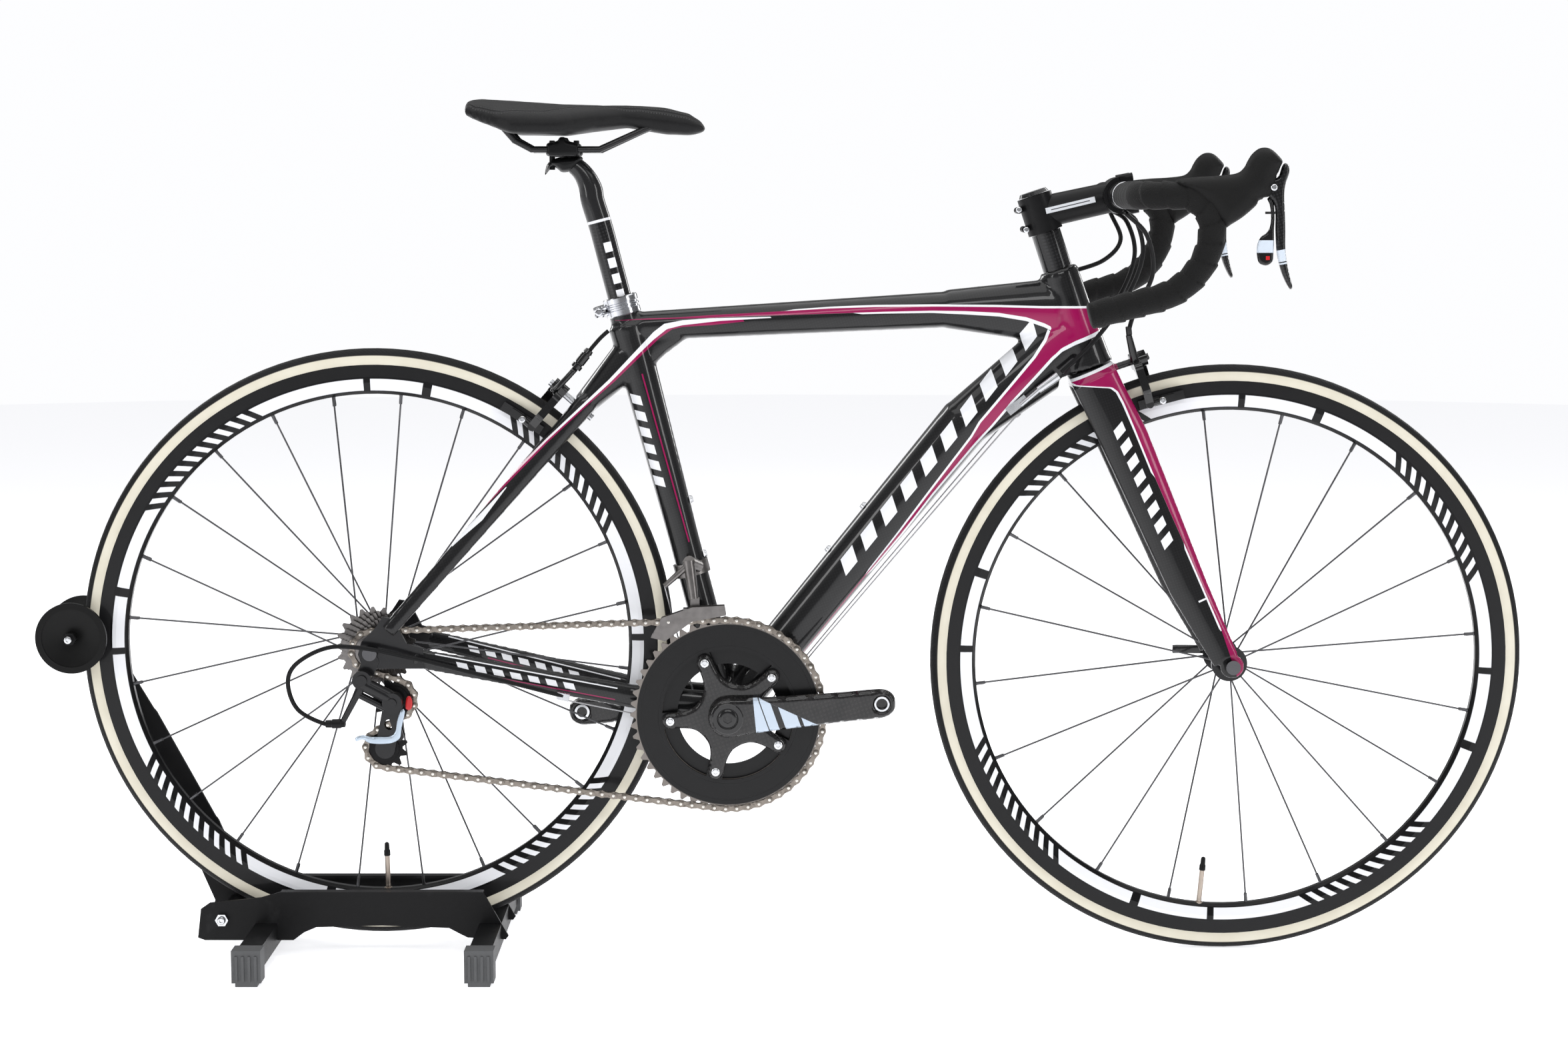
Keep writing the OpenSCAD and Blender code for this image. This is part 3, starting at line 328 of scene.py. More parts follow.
def carbon(name, rough=0.25):
    """Lacquered twill, left for the caller to finish."""
    s = Surface(name, BLACK, rough=rough, vary=0.25, relief=0.00001, Coat_Weight=0.9,
                Coat_Roughness=0.06, Coat_IOR=1.36)
    x, y, z = s.xyz()
    cells = weave(x + y, z, 2.0, 1.0)
    s.paint(cells * 0.6, (0.026, 0.026, 0.028))
    s.height = s.height + cells * 0.00002
    return s


def post_paint():
    """Carbon post with a ring where its bend starts and four small marks."""
    s = carbon("post_carbon")
    x, y, z = s.xyz()
    u, v = turned(x, z, (396, 278), (-math.cos(SEAT_ANGLE), math.sin(SEAT_ANGLE)))
    s.paint(u.within(566.5, 569.5), WHITE)
    s.paint(u.above(569.5), (0.012, 0.012, 0.013))
    for start in (478, 496, 514, 532):
        s.paint(u.within(start, start + 11).both(v.within(-7, 1.5)).both(y.below(0)), WHITE)
    return s.finish()


def tyre_skin(name, axle):
    s = Surface(name, (0.011, 0.011, 0.0115), rough=0.6, vary=0.25, patch=90, grain=700, relief=0.00006)
    r, dx, dz = s.around(axle)
    angle = dz.op("ARCTAN2", dx)
    side = s.xyz()[1].op("ABSOLUTE")
    wall_top, wall_foot = 326.4, 313.4
    wall = r.below(wall_top, 0.5)
    stain = s.noise(34, 4)
    cloth = mix(s.tree, stain, (0.60, 0.56, 0.45), (0.74, 0.71, 0.61))
    s.color = mix(s.tree, wall, s.color, cloth)
    s.paint(r.within(326.0, 326.8, 0.3) * 0.6, (0.05, 0.045, 0.04))
    s.paint(r.below(wall_foot, 0.5), (0.012, 0.012, 0.012))
    # woven casing on the walls, slanting sipes and fine ribs on the tread
    threads = (angle * 1400 + r * 3.4).op("SINE") * (angle * 1400 - r * 3.4).op("SINE")
    sipes = (angle * 420 + side * 1.6).op("SINE").above(0.55, 0.3) * side.within(3.5, 9.5, 1)
    ribs = (s.xyz()[1] * 6.28).op("SINE") * side.below(3.2, 1)
    tread = (wall * -1) + 1
    s.height = s.height + threads * wall * 0.00004 - sipes * tread * 0.0004 + ribs * tread * 0.00006
    s.rough = s.rough + wall * 0.12
    return s.finish()


def rim_skin(name, axle, turn, short_end):
    """Rim with a short and a long white arc in each quarter; slanting gaps cut part of the long one."""
    s = Surface(name, (0.005, 0.005, 0.0055), rough=0.24, vary=0.2, relief=0.000006, Coat_Weight=0.3,
                Coat_Roughness=0.08, Coat_IOR=1.35)
    r, dx, dz = s.around(axle)
    turn_in = (dz.op("ARCTAN2", dx) * (180 / math.pi) + (720 + turn)).op("MODULO", 90.0)
    inner, outer = 287.0, 300.2
    first_gap, gap_pitch, gap_width = 38.5, 3, 1.6  # degrees round the rim
    band = r.within(inner, outer, 0.4)
    short_arc = turn_in.within(2.0, short_end, 0.1)
    long_arc = turn_in.within(short_end + 1.5, 90.6, 0.1)
    gaps = r * 0
    slanted = turn_in - (r - inner) * 0.16
    for i in range(11):
        start = first_gap + gap_pitch * i
        gaps = gaps.either(slanted.within(start, start + gap_width, 0.1))
    s.paint(band.both(short_arc.either(long_arc)) - band.both(gaps), WHITE)
    # machined braking surface
    track_foot = 302.5
    track = r.above(track_foot, 0.4)
    rings = (r * 16).op("SINE")
    s.height = s.height + rings * track * 0.000012
    s.rough = s.rough + track * 0.12
    s.paint(track * 0.5, (0.012, 0.012, 0.013))
    return s.finish()


def metal(name, color, rough, vary=0.18, brushed=0.0):
    s = Surface(name, color, rough=rough, metal=1.0, vary=vary, patch=120, grain=1500, relief=0.000012)
    if brushed:
        lines = (s.xyz()[2] * 9 + s.noise(300) * 4).op("SINE")
        s.rough = s.rough + lines * brushed
    return s


def stem_skin():
    s = Surface("stem_satin", (0.0065, 0.0065, 0.007), rough=0.36, vary=0.2, relief=0.00003)
    x, y, z = s.xyz()
    u, v = turned(x, z, (748.4, 838.6), (54.2, 12.9))
    label = u.within(0, 56).both(v.within(-3.2, 3.2)).both(y.op("ABSOLUTE").above(9))
    s.paint(label, (0.62, 0.64, 0.67))
    s.paint(label.both(v.within(-0.5, 0.5)).both(u.within(6, 50)), (0.02, 0.02, 0.02))
    return s.finish()


def glossy(name, rough, coat, coat_rough):
    return Surface(name, BLACK, rough=rough, vary=0.2, relief=0.000005, Coat_Weight=coat,
                   Coat_Roughness=coat_rough, Coat_IOR=1.38)


PALE_BLUE = (0.60, 0.67, 0.76)


def lever_skin():
    s = glossy("lever_carbon", 0.2, 0.8, 0.05)
    x, y, z = s.xyz()
    s.paint(weave(x + y, z, 1.8, 1.0) * 0.5, (0.03, 0.03, 0.032))
    level = z - x * 0.2
    s.paint(level.within(591.5, 604), PALE_BLUE)
    s.paint(level.within(588.5, 590.2), PALE_BLUE)
    return s.finish()


def paddle_skin():
    s = glossy("paddle_gloss", 0.2, 0.8, 0.05)
    x, y, z = s.xyz()
    s.paint(z.within(796.5, 809.5), PALE_BLUE)
    s.paint(z.within(789, 793).both(x.within(962, 966)), (0.5, 0.015, 0.02))
    return s.finish()


def crank_skin():
    s = glossy("crank_gloss", 0.18, 1.0, 0.03)
    x, y, z = s.xyz()
    cloud = s.noise(55, 5).above(0.5, 0.3)
    s.paint(weave(x + y, z, 2.4, 1.0) * 0.4 + cloud * 0.35, (0.028, 0.026, 0.026))
    u, v = turned(x, z, BB, (math.cos(ARM_LEAN), math.sin(ARM_LEAN)))
    u = u.op("ABSOLUTE")
    wedge = v.below(u.curve([(0, 44), (26, 26), (100, -17), (180, -60)])).both(u.within(30, 100))
    wedge = wedge.both(y.op("ABSOLUTE").above(60.5, 0.4))
    s.paint(wedge, (0.50, 0.58, 0.68))
    slant = u + v * 0.25
    lines = slant.within(52, 59).either(slant.within(76, 80)).either(slant.within(40, 41.2))
    s.paint(wedge.both(lines), (0.01, 0.01, 0.011))
    return s.finish()


def leather():
    s = Surface("saddle_cover", (0.008, 0.008, 0.0085), rough=0.42, vary=0.2, patch=30, relief=0.00002,
                Sheen_Weight=0.04)
    pores = s.cells(900)
    folds = s.noise(160, 5)
    s.height = s.height + pores * 0.00012 + folds * 0.00010
    x, y, z = s.xyz()
    # sewn seam along each side of the top and a fine line of stitches
    side = y.op("ABSOLUTE")
    seam_y = x.curve([(100, 18), (120, 36), (150, 50), (195, 46), (240, 24), (300, 14), (372, 9)])
    off = (side - seam_y).op("ABSOLUTE")
    top = z.above(938, 2)
    groove = off.below(0.9, 0.8).both(top)
    stitch = (off - 2.2).op("ABSOLUTE").below(0.5, 0.4).both((x * 2.1).op("SINE").above(-0.2, 0.4)).both(top)
    s.height = s.height - groove * 0.0005 + stitch * 0.0003
    s.paint(stitch * 0.6, (0.05, 0.05, 0.052))
    return s.finish()


def tape_skin():
    s = Surface("bar_tape_foam", (0.006, 0.006, 0.006), rough=0.7, vary=0.25, patch=80, grain=500,
                relief=0.0002, Sheen_Weight=0.06)
    holes = s.cells(420)
    s.height = s.height + holes.below(0.25, 0.2) * -0.00025
    return s.finish()


def rubber(name, color, scale=650, rough=0.7):
    s = Surface(name, color, rough=rough, vary=0.2, patch=50, grain=800, relief=0.00008)
    s.height = s.height + s.cells(scale) * 0.00008
    return s.finish()


def stand_coat():
    s = Surface("stand_coat", (0.007, 0.007, 0.0075), rough=0.4, vary=0.25, patch=40, grain=1300,
                relief=0.00008)
    scuffs = s.noise(18, 6).above(0.68, 0.1)
    s.rough = s.rough + scuffs * 0.12
    s.paint(scuffs * 0.3, (0.05, 0.05, 0.052))
    return s.finish()


def ring_skin():
    s = Surface("ring_anodised", BLACK, rough=0.32, vary=0.2, relief=0.00001, Coat_Weight=0.3,
                Coat_Roughness=0.2)
    r = s.around(BB)[0]
    y = s.xyz()[1]
    teeth = r.above(102.4, 0.8).either(r.within(74.0, 80.5).both(y.above(-42)))
    s.paint(teeth, (0.20, 0.18, 0.165))
    s.shader.inputs["Metallic"].default_value = 0.35
    groove = r.within(96.6, 97.4, 0.4).either(r.within(77.6, 78.4, 0.4).both(y.below(-44)))
    s.height = s.height + (r * 9).op("SINE") * 0.00001 - groove * 0.0003
    s.rough = s.rough + teeth * 0.06
    return s.finish()


def chain_steel():
    s = Surface("chain_steel", (0.23, 0.205, 0.18), rough=0.30, metal=1.0, vary=0.3, patch=150, grain=900,
                relief=0.00002)
    s.paint(s.noise(260, 4).above(0.62, 0.15) * 0.6, (0.07, 0.06, 0.05))
    return s.finish()


LOOK = {
    "frame": frame_paint(),
    "fork": fork_paint(),
    "crank": crank_skin(),
    "stem": stem_skin(),
    "lever": lever_skin(),
    "paddle": paddle_skin(),
    "steerer": carbon("spacer_carbon", 0.3).finish(),
    "post": post_paint(),
    "tyre_front": tyre_skin("tyre_front_skin", FRONT_AXLE),
    "tyre_rear": tyre_skin("tyre_rear_skin", REAR_AXLE),
    "rim_front": rim_skin("rim_front_skin", FRONT_AXLE, 20.6, 17.4),
    "rim_rear": rim_skin("rim_rear_skin", REAR_AXLE, 12.6, 13.4),
    "spoke": metal("spoke_black", (0.09, 0.09, 0.095), 0.35).finish(),
    "steel": metal("polished_steel", (0.62, 0.63, 0.65), 0.2).finish(),
    "alloy": metal("brushed_alloy", (0.55, 0.56, 0.58), 0.3, brushed=0.05).finish(),
    "silver": metal("silver_collar", (0.60, 0.61, 0.64), 0.16).finish(),
    "blue": Surface("pale_arm", (0.45, 0.53, 0.62), rough=0.3, metal=0.6, vary=0.1).finish(),
    "cog": metal("cassette_steel", (0.19, 0.18, 0.175), 0.32, vary=0.35).finish(),
    "anodised": Surface("black_anodised", (0.010, 0.010, 0.011), rough=0.3, metal=0.2, vary=0.25,
                        relief=0.00001, Coat_Weight=0.4, Coat_Roughness=0.15).finish(),
    "gloss": Surface("black_gloss", (0.006, 0.006, 0.0065), rough=0.22, vary=0.2, relief=0.000005,
                     Coat_Weight=0.8, Coat_Roughness=0.05).finish(),
    "satin": Surface("black_satin", (0.0065, 0.0065, 0.007), rough=0.36, vary=0.2, relief=0.00003).finish(),
    "plastic": Surface("black_plastic", (0.007, 0.007, 0.0075), rough=0.36, vary=0.2,
                       relief=0.00004).finish(),
    "roller": Surface("roller_plastic", (0.005, 0.005, 0.005), rough=0.33, vary=0.2, relief=0.00005).finish(),
    "stand": stand_coat(),
    "feet": rubber("foot_rubber", (0.075, 0.077, 0.08), 500, 0.62),
    "saddle": leather(),
    "tape": tape_skin(),
    "hood": rubber("hood_rubber", (0.0065, 0.0065, 0.0065), 800, 0.58),
    "cable": Surface("cable_housing", (0.006, 0.006, 0.0065), rough=0.4, vary=0.2, relief=0.00002).finish(),
    "wire": metal("bare_cable", (0.35, 0.35, 0.36), 0.35).finish(),
    "chain": chain_steel(),
    "ring": ring_skin(),
    "dark_steel": metal("dark_steel", (0.10, 0.10, 0.105), 0.24).finish(),
    "valve": metal("valve_brass", (0.42, 0.36, 0.31), 0.34).finish(),
    "pin": metal("pin_steel", (0.62, 0.60, 0.56), 0.22).finish(),
    "white": Surface("white_patch", WHITE, rough=0.35, vary=0.04, relief=0.00001).finish(),
    "red": Surface("red_patch", (0.5, 0.012, 0.015), rough=0.35, vary=0.08, relief=0.00001).finish(),
}

CAD_NODES = {
    "stand": ["stand_plates", "stand_legs", "stand_arm"],
    "feet": ["stand_feet"],
    "steel": ["stand_bolts"],
    "roller": ["stand_roller"],
    "anodised": [
        "bottom_bracket", "dropouts", "rear_derailleur", "derailleur_cage", "saddle_clamp",
        "saddle_rails", "hub_front", "hub_rear",
    ],
    "silver": ["seat_clamp"],
    "alloy": ["frame_fittings"],
    "cog": ["front_derailleur", "cassette"],
    "plastic": ["guide_pulley", "tension_pulley"],
    "post": ["seatpost"],
    "steerer": ["headset_spacers"],
    "stem": ["stem", "stem_faceplate"],
    "satin": ["handlebar"],
    "gloss": [
        "front_caliper_right", "front_caliper_left", "rear_caliper_right", "rear_caliper_left",
        "qr_lever_front", "qr_lever_rear",
    ],
    "tyre_front": ["tyre_front"],
    "rim_front": ["rim_front"],
    "spoke": ["spokes_front", "spokes_rear"],
    "dark_steel": ["axle_front", "axle_rear"],
    "tyre_rear": ["tyre_rear"],
    "rim_rear": ["rim_rear"],
    "ring": ["chainrings"],
}


def dress(obj, look):
    obj.data.materials.clear()
    obj.data.materials.append(LOOK[look])


for look, nodes in CAD_NODES.items():
    for node in nodes:
        dress(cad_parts[node], look)

# ---------- mesh helpers ----------


def new_object(name, verts, faces, look, smooth=True):
    mesh = bpy.data.meshes.new(name)
    mesh.from_pydata([tuple(v) for v in verts], [], faces)
    mesh.validate()
    mesh.update()
    obj = bpy.data.objects.new(name, mesh)
    bpy.context.scene.collection.objects.link(obj)
    dress(obj, look)
    if smooth:
        mesh.shade_smooth()
    return obj


def soften(obj, degrees=35):
    """Smooth shading with sharp edges kept."""
    obj.data.shade_smooth()
    obj.data.set_sharp_from_angle(angle=math.radians(degrees))
    return obj


def add(name, shape, look, body, degrees=35):
    """A finished piece, from its (verts, faces), that rides on a body."""
    obj = soften(new_object(name, *shape, look), degrees)
    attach(obj, body)
    return obj


def grown(names, name, voxel, rounds, look, extra=()):
    """One skin over copies of CAD nodes, with the joints between them filleted."""
    bm = bmesh.new()
    for n in names:
        bm.from_mesh(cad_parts[n].data)
    bmesh.ops.remove_doubles(bm, verts=bm.verts, dist=2e-6)
    for verts, faces in extra:
        new = [bm.verts.new(v) for v in verts]
        for f in faces:
            bm.faces.new([new[i] for i in f])
    mesh = bpy.data.meshes.new(name)
    bm.to_mesh(mesh)
    bm.free()
    obj = bpy.data.objects.new(name, mesh)
    bpy.context.scene.collection.objects.link(obj)
    skin = obj.modifiers.new("skin", "REMESH")
    skin.mode = "VOXEL"
    skin.voxel_size = voxel
    bpy.context.view_layer.update()
    shaped = bpy.data.meshes.new_from_object(obj.evaluated_get(bpy.context.evaluated_depsgraph_get()))
    obj.modifiers.clear()
    obj.data = shaped
    smooth_mesh(shaped, rounds)
    dress(obj, look)
    shaped.shade_smooth()
    return obj


def smooth_mesh(mesh, rounds):
    """Takes the steps out of a voxel mesh without shrinking it."""
    n = len(mesh.vertices)
    co = np.zeros(n * 3)
    mesh.vertices.foreach_get("co", co)
    co = co.reshape(-1, 3)
    edges = np.zeros(len(mesh.edges) * 2, int)
    mesh.edges.foreach_get("vertices", edges)
    a, b = edges.reshape(-1, 2).T
    count = np.bincount(a, minlength=n) + np.bincount(b, minlength=n)
    for i in range(rounds * 2):
        step = 0.52 if i % 2 == 0 else -0.535
        sums = [np.bincount(a, co[b, k], n) + np.bincount(b, co[a, k], n) for k in range(3)]
        co = co + (np.stack([total / count for total in sums], 1) - co) * step
    mesh.vertices.foreach_set("co", co.ravel())
    mesh.update()


def curve_between(p0, p1, p2, p3, t):
    """A share t of the way from p1 to p2, on a curve that passes through all four."""
    return 0.5 * ((2 * p1) + (p2 - p0) * t + (2 * p0 - 5 * p1 + 4 * p2 - p3) * t * t
                  + (3 * p1 - p0 - 3 * p2 + p3) * t ** 3)


def smooth_path(points, step):
    """Evenly spaced points on a smooth curve through the given ones, in millimetres."""
    pts = [Vector(p) for p in points]
    ends = [pts[0] * 2 - pts[1]] + pts + [pts[-1] * 2 - pts[-2]]
    out = []
    for i in range(1, len(ends) - 2):
        four = ends[i - 1:i + 3]
        n = max(2, int((four[2] - four[1]).length / step))
        out += [curve_between(*four, k / n) for k in range(n)]
    return out + [pts[-1]]


def square_to(d):
    """A direction square to d."""
    return d.cross(Vector((0, 0, 1)) if abs(d.z) < 0.9 else Vector((1, 0, 0))).normalized()


def path_frames(path):
    """For each point of a path, two directions square to it that don't twist."""
    side = None
    frames = []
    for i, p in enumerate(path):
        d = (path[min(i + 1, len(path) - 1)] - path[max(i - 1, 0)]).normalized()
        if side is None:
            side = square_to(d)
        side = (side - d * side.dot(d)).normalized()
        frames.append((side, d.cross(side)))
    return frames


def on_circle(centre, e1, e2, r, a):
    """The place at angle a on a circle that lies in the plane of e1 and e2."""
    return at(*(centre + (e1 * math.cos(a) + e2 * math.sin(a)) * r))


def closed_rings(rings, sides):
    """Faces over rings of vertices, with both ends closed."""
    faces = []
    for i in range(rings - 1):
        for k in range(sides):
            n = (k + 1) % sides
            faces.append((i * sides + k, i * sides + n, (i + 1) * sides + n, (i + 1) * sides + k))
    faces.append(tuple(reversed(range(sides))))
    faces.append(tuple((rings - 1) * sides + k for k in range(sides)))
    return faces


def tube_mesh(path, radius, sides):
    """Closed tube along a path; radius is a number or a function of (index, angle)."""
    verts = []
    for i, (p, (e1, e2)) in enumerate(zip(path, path_frames(path))):
        for k in range(sides):
            a = 2 * math.pi * k / sides
            verts.append(on_circle(p, e1, e2, radius(i, a) if callable(radius) else radius, a))
    return verts, closed_rings(len(path), sides)


def axes(origin, axis):
    """Origin, unit axis and two directions square to it."""
    d = Vector(axis).normalized()
    e1 = square_to(d)
    return Vector(origin), d, e1, d.cross(e1)


def lathe(profile, origin, axis, sides):
    """Turned part: profile is (distance along the axis, radius) in millimetres, closed at both ends."""
    o, d, e1, e2 = axes(origin, axis)
    turns = [2 * math.pi * k / sides for k in range(sides)]
    verts = [on_circle(o + d * h, e1, e2, r, a) for h, r in profile for a in turns]
    return verts, closed_rings(len(profile), sides)


def gather(parts):
    """Several (verts, faces) as one."""
    verts, faces = [], []
    for v, f in parts:
        base = len(verts)
        verts += v
        faces += [tuple(base + i for i in face) for face in f]
    return verts, faces


def revolve(loop, origin, axis, sides):
    """Ring-shaped turned part: loop is a closed profile of (distance along the axis, radius)."""
    o, d, e1, e2 = axes(origin, axis)
    n = len(loop)
    verts = [on_circle(o + d * h, e1, e2, r, 2 * math.pi * k / sides) for k in range(sides) for h, r in loop]
    faces = []
    for k in range(sides):
        m = (k + 1) % sides
        for i in range(n):
            j = (i + 1) % n
            faces.append((k * n + i, k * n + j, m * n + j, m * n + i))
    return verts, faces


def round_outline(points, step=1.5):
    """Closed smooth outline through points of a plane, evenly stepped."""
    pts = [Vector(p) for p in points]
    out = []
    n = len(pts)
    for i in range(n):
        four = [pts[(i + k) % n] for k in (-1, 0, 1, 2)]
        m = max(1, int((four[2] - four[1]).length / step))
        out += [curve_between(*four, k / m) for k in range(m)]
    return out


def circle(center, r, n=28):
    turns = [2 * math.pi * k / n for k in range(n)]
    return [Vector((center[0] + r * math.cos(a), center[1] + r * math.sin(a))) for a in turns]


def inflated(loops, y, half, edge, step=1.6):
    """Solid on a smooth outline in the side view, rounded over towards its edges.

    loops: the outline, then its holes; y: the middle; half: half the thickness; edge: the rounding's width.
    """
    verts2, cons = [], []
    for loop in loops:
        base = len(verts2)
        verts2 += [Vector((p[0], p[1])) for p in loop]
        cons += [(base + i, base + (i + 1) % len(loop)) for i in range(len(loop))]
    rim = np.array([(p.x, p.y) for p in verts2])
    a, b = rim[[c[0] for c in cons]], rim[[c[1] for c in cons]]

    def reach(pts):
        ab = b - a
        t = np.clip(((pts[:, None] - a) * ab).sum(2) / np.maximum((ab ** 2).sum(1), 1e-9), 0, 1)
        return np.linalg.norm(pts[:, None] - (a + ab * t[..., None]), axis=2).min(1)

    lo, hi = rim.min(0), rim.max(0)
    gx, gy = np.meshgrid(np.arange(lo[0], hi[0], step), np.arange(lo[1], hi[1], step))
    gx = gx + (np.arange(gx.shape[0]) % 2)[:, None] * step / 2
    grid = np.stack([gx.ravel(), gy.ravel()], 1)
    inside = np.zeros(len(grid), bool)
    for (ax, ay), (bx, by) in zip(a, b):
        cross = (ay > grid[:, 1]) != (by > grid[:, 1])
        with np.errstate(divide="ignore", invalid="ignore"):
            at_x = (bx - ax) * (grid[:, 1] - ay) / (by - ay) + ax
        inside ^= cross & (grid[:, 0] < at_x)
    grid = grid[inside]
    grid = grid[reach(grid) > step * 0.55]
    verts2 += [Vector(p) for p in grid]
    out = mathutils.geometry.delaunay_2d_cdt(verts2, cons, [], 4, 1e-5)
    flat, tris = out[0], out[2]
    pts = np.array([(p.x, p.y) for p in flat])
    d = reach(pts)
    h = half * np.sqrt(np.clip(1 - (1 - np.minimum(d / edge, 1)) ** 2, 0, 1))
    on_rim = d < 1e-3
    back = np.arange(len(pts))
    back[~on_rim] = len(pts) + np.arange((~on_rim).sum())
    verts = [at(p[0], y - q, p[1]) for p, q in zip(pts, h)]
    verts += [at(p[0], y + q, p[1]) for p, q, r in zip(pts, h, on_rim) if not r]
    faces = []
    for t in tris:
        i, j, k = t
        (ax, ay), (bx, by) = pts[j] - pts[i], pts[k] - pts[i]
        if ax * by - bx * ay < 0:
            i, j, k = i, k, j
        faces.append((i, j, k))
        twin = (int(back[i]), int(back[k]), int(back[j]))
        if len({i, j, k} | set(twin)) > 3:
            faces.append(twin)
    return verts, faces


def cut(obj, low, high):
    """Cuts a box, given in millimetres, out of an object."""
    bm = bmesh.new()
    bmesh.ops.create_cube(bm, size=1)
    a, b = at(*low), at(*high)
    for v in bm.verts:
        v.co = Vector((a[i] + (b[i] - a[i]) * (v.co[i] + 0.5) for i in range(3)))
    mesh = bpy.data.meshes.new("cutter")
    bm.to_mesh(mesh)
    bm.free()
    cutter = bpy.data.objects.new("cutter", mesh)
    bpy.context.scene.collection.objects.link(cutter)
    mod = obj.modifiers.new("cut", "BOOLEAN")
    mod.operation = "DIFFERENCE"
    mod.object = cutter
    mod.solver = "EXACT"
    bpy.context.view_layer.update()
    shaped = bpy.data.meshes.new_from_object(obj.evaluated_get(bpy.context.evaluated_depsgraph_get()))
    obj.modifiers.clear()
    obj.data = shaped
    bpy.data.objects.remove(cutter)


def socket_bolt(origin, axis, r, h=2.6):
    """Button head with a six-sided socket, standing on its origin."""
    o, d, e1, e2 = axes(origin, axis)
    sides = 24
    head = [(0, r), (h * 0.55, r), (h * 0.9, r * 0.86), (h, r * 0.66)]
    socket = [(h, r * 0.5), (h * 0.35, r * 0.47)]
    verts = []
    for level, rad in head + socket:
        for k in range(sides):
            a = 2 * math.pi * k / sides
            reach = rad
            if (level, rad) in socket:
                wedge = (a + math.pi / 6) % (math.pi / 3) - math.pi / 6
                reach = rad * math.cos(math.pi / 6) / math.cos(wedge)
            verts.append(on_circle(o + d * level, e1, e2, reach, a))
    return verts, closed_rings(len(head + socket), sides)


# ---------- camera, floor and light ----------

LENS = 65.6  # millimetres, on a sensor 36 wide
CAMERA_PLACE = (458.5, -3200, 859.6)
CAMERA_DOWN = 6.6  # degrees

camera = bpy.data.objects.new("camera", bpy.data.cameras.new("camera"))
camera.data.sensor_width = 36
camera.data.lens = LENS
camera.data.clip_start = 0.05
camera.data.clip_end = 60
camera.location = at(*CAMERA_PLACE)
camera.rotation_euler = (math.radians(90 - CAMERA_DOWN), 0, 0)
bpy.context.scene.collection.objects.link(camera)
bpy.context.scene.camera = camera

FLOOR_RADIUS, FLOOR_DROP, FLOOR_SIDES = 9, 0.0005, 64
rim = circle((0, 0), FLOOR_RADIUS, FLOOR_SIDES)
LOOK["floor"] = Surface("floor_white", (0.90, 0.90, 0.91), rough=0.6, vary=0.01, relief=0.00001,
                        Emission_Color=(0.97, 0.975, 1.0, 1), Emission_Strength=0.7).finish()
rim = [(*q, -FLOOR_DROP) for q in rim]
floor = new_object("floor", rim, [tuple(range(FLOOR_SIDES))], "floor", smooth=False)

WORLD_LIGHT = 0.27  # of the strength that the camera sees directly

world = bpy.data.worlds.new("studio")
world.use_nodes = True
sky = world.node_tree
seen = sky.nodes.new("ShaderNodeLightPath").outputs["Is Camera Ray"]
strength = sky.nodes.new("ShaderNodeMath")
strength.operation = "MULTIPLY_ADD"
strength.inputs[1].default_value = 1 - WORLD_LIGHT
strength.inputs[2].default_value = WORLD_LIGHT
sky.links.new(seen, strength.inputs[0])
sky.links.new(strength.outputs[0], sky.nodes["Background"].inputs["Strength"])
sky.nodes["Background"].inputs["Color"].default_value = (0.985, 0.988, 1.0, 1)
bpy.context.scene.world = world
bpy.context.scene.view_settings.view_transform = "Standard"


def softbox(name, location, target, size, power):
    """A rectangular light that faces the target."""
    data = bpy.data.lights.new(name, "AREA")
    data.shape = "RECTANGLE"
    data.size, data.size_y = size
    data.energy = power
    obj = bpy.data.objects.new(name, data)
    obj.location = location
    aim = Vector(target) - Vector(location)
    obj.rotation_euler = aim.to_track_quat("-Z", "Y").to_euler()
    bpy.context.scene.collection.objects.link(obj)


MIDDLE = (0, 0, 0.5)
softbox("light_top", (0.0, 0.0, 3.0), (0, 0, 0), (5.0, 3.6), 84)
softbox("light_front", (0.0, -3.4, 2.9), MIDDLE, (2.6, 0.7), 30)
for word, way in (("left", -1), ("right", 1)):
    softbox(f"light_{word}", (way * 3.2, -2.4, 1.6), MIDDLE, (0.7, 2.4), 33)
    softbox(f"light_back_{word}", (way * 2.6, 2.8, 1.9), MIDDLE, (0.8, 2.0), 32)

# ---------- frame and fork skins ----------

GUSSET = [(286, 716), (300, 720), (325, 719), (349, 712), (352, 699), (346, 694), (336, 686.4), (324, 677.1),
          (315.5, 667.8), (311, 655.8), (304, 640), (292, 660)]
gusset = inflated([round_outline(GUSSET, 2.5)], 0, 11.5, 13, 3)
TUBES = ("head_tube", "top_tube", "down_tube", "seat_tube", "chain_stays", "seat_stays")
frame_skin = grown(TUBES, "frame_skin", 0.0022, 22, "frame", extra=[gusset])
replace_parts(frame_skin, *TUBES)
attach(frame_skin, "bike_frame")

fork_skin = grown(["fork"], "fork_skin", 0.0018, 14, "fork")
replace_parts(fork_skin, "fork")
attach(fork_skin, "steering")

# ---------- seat post and clamps ----------

SEAT_UP = Vector((-math.cos(SEAT_ANGLE), 0, math.sin(SEAT_ANGLE)))
POST_FOOT, COLLAR = 356, 460  # up the seat tube's line, from the crank


def seat_at(s):
    return Vector((BB[0], 0, BB[1])) + SEAT_UP * s


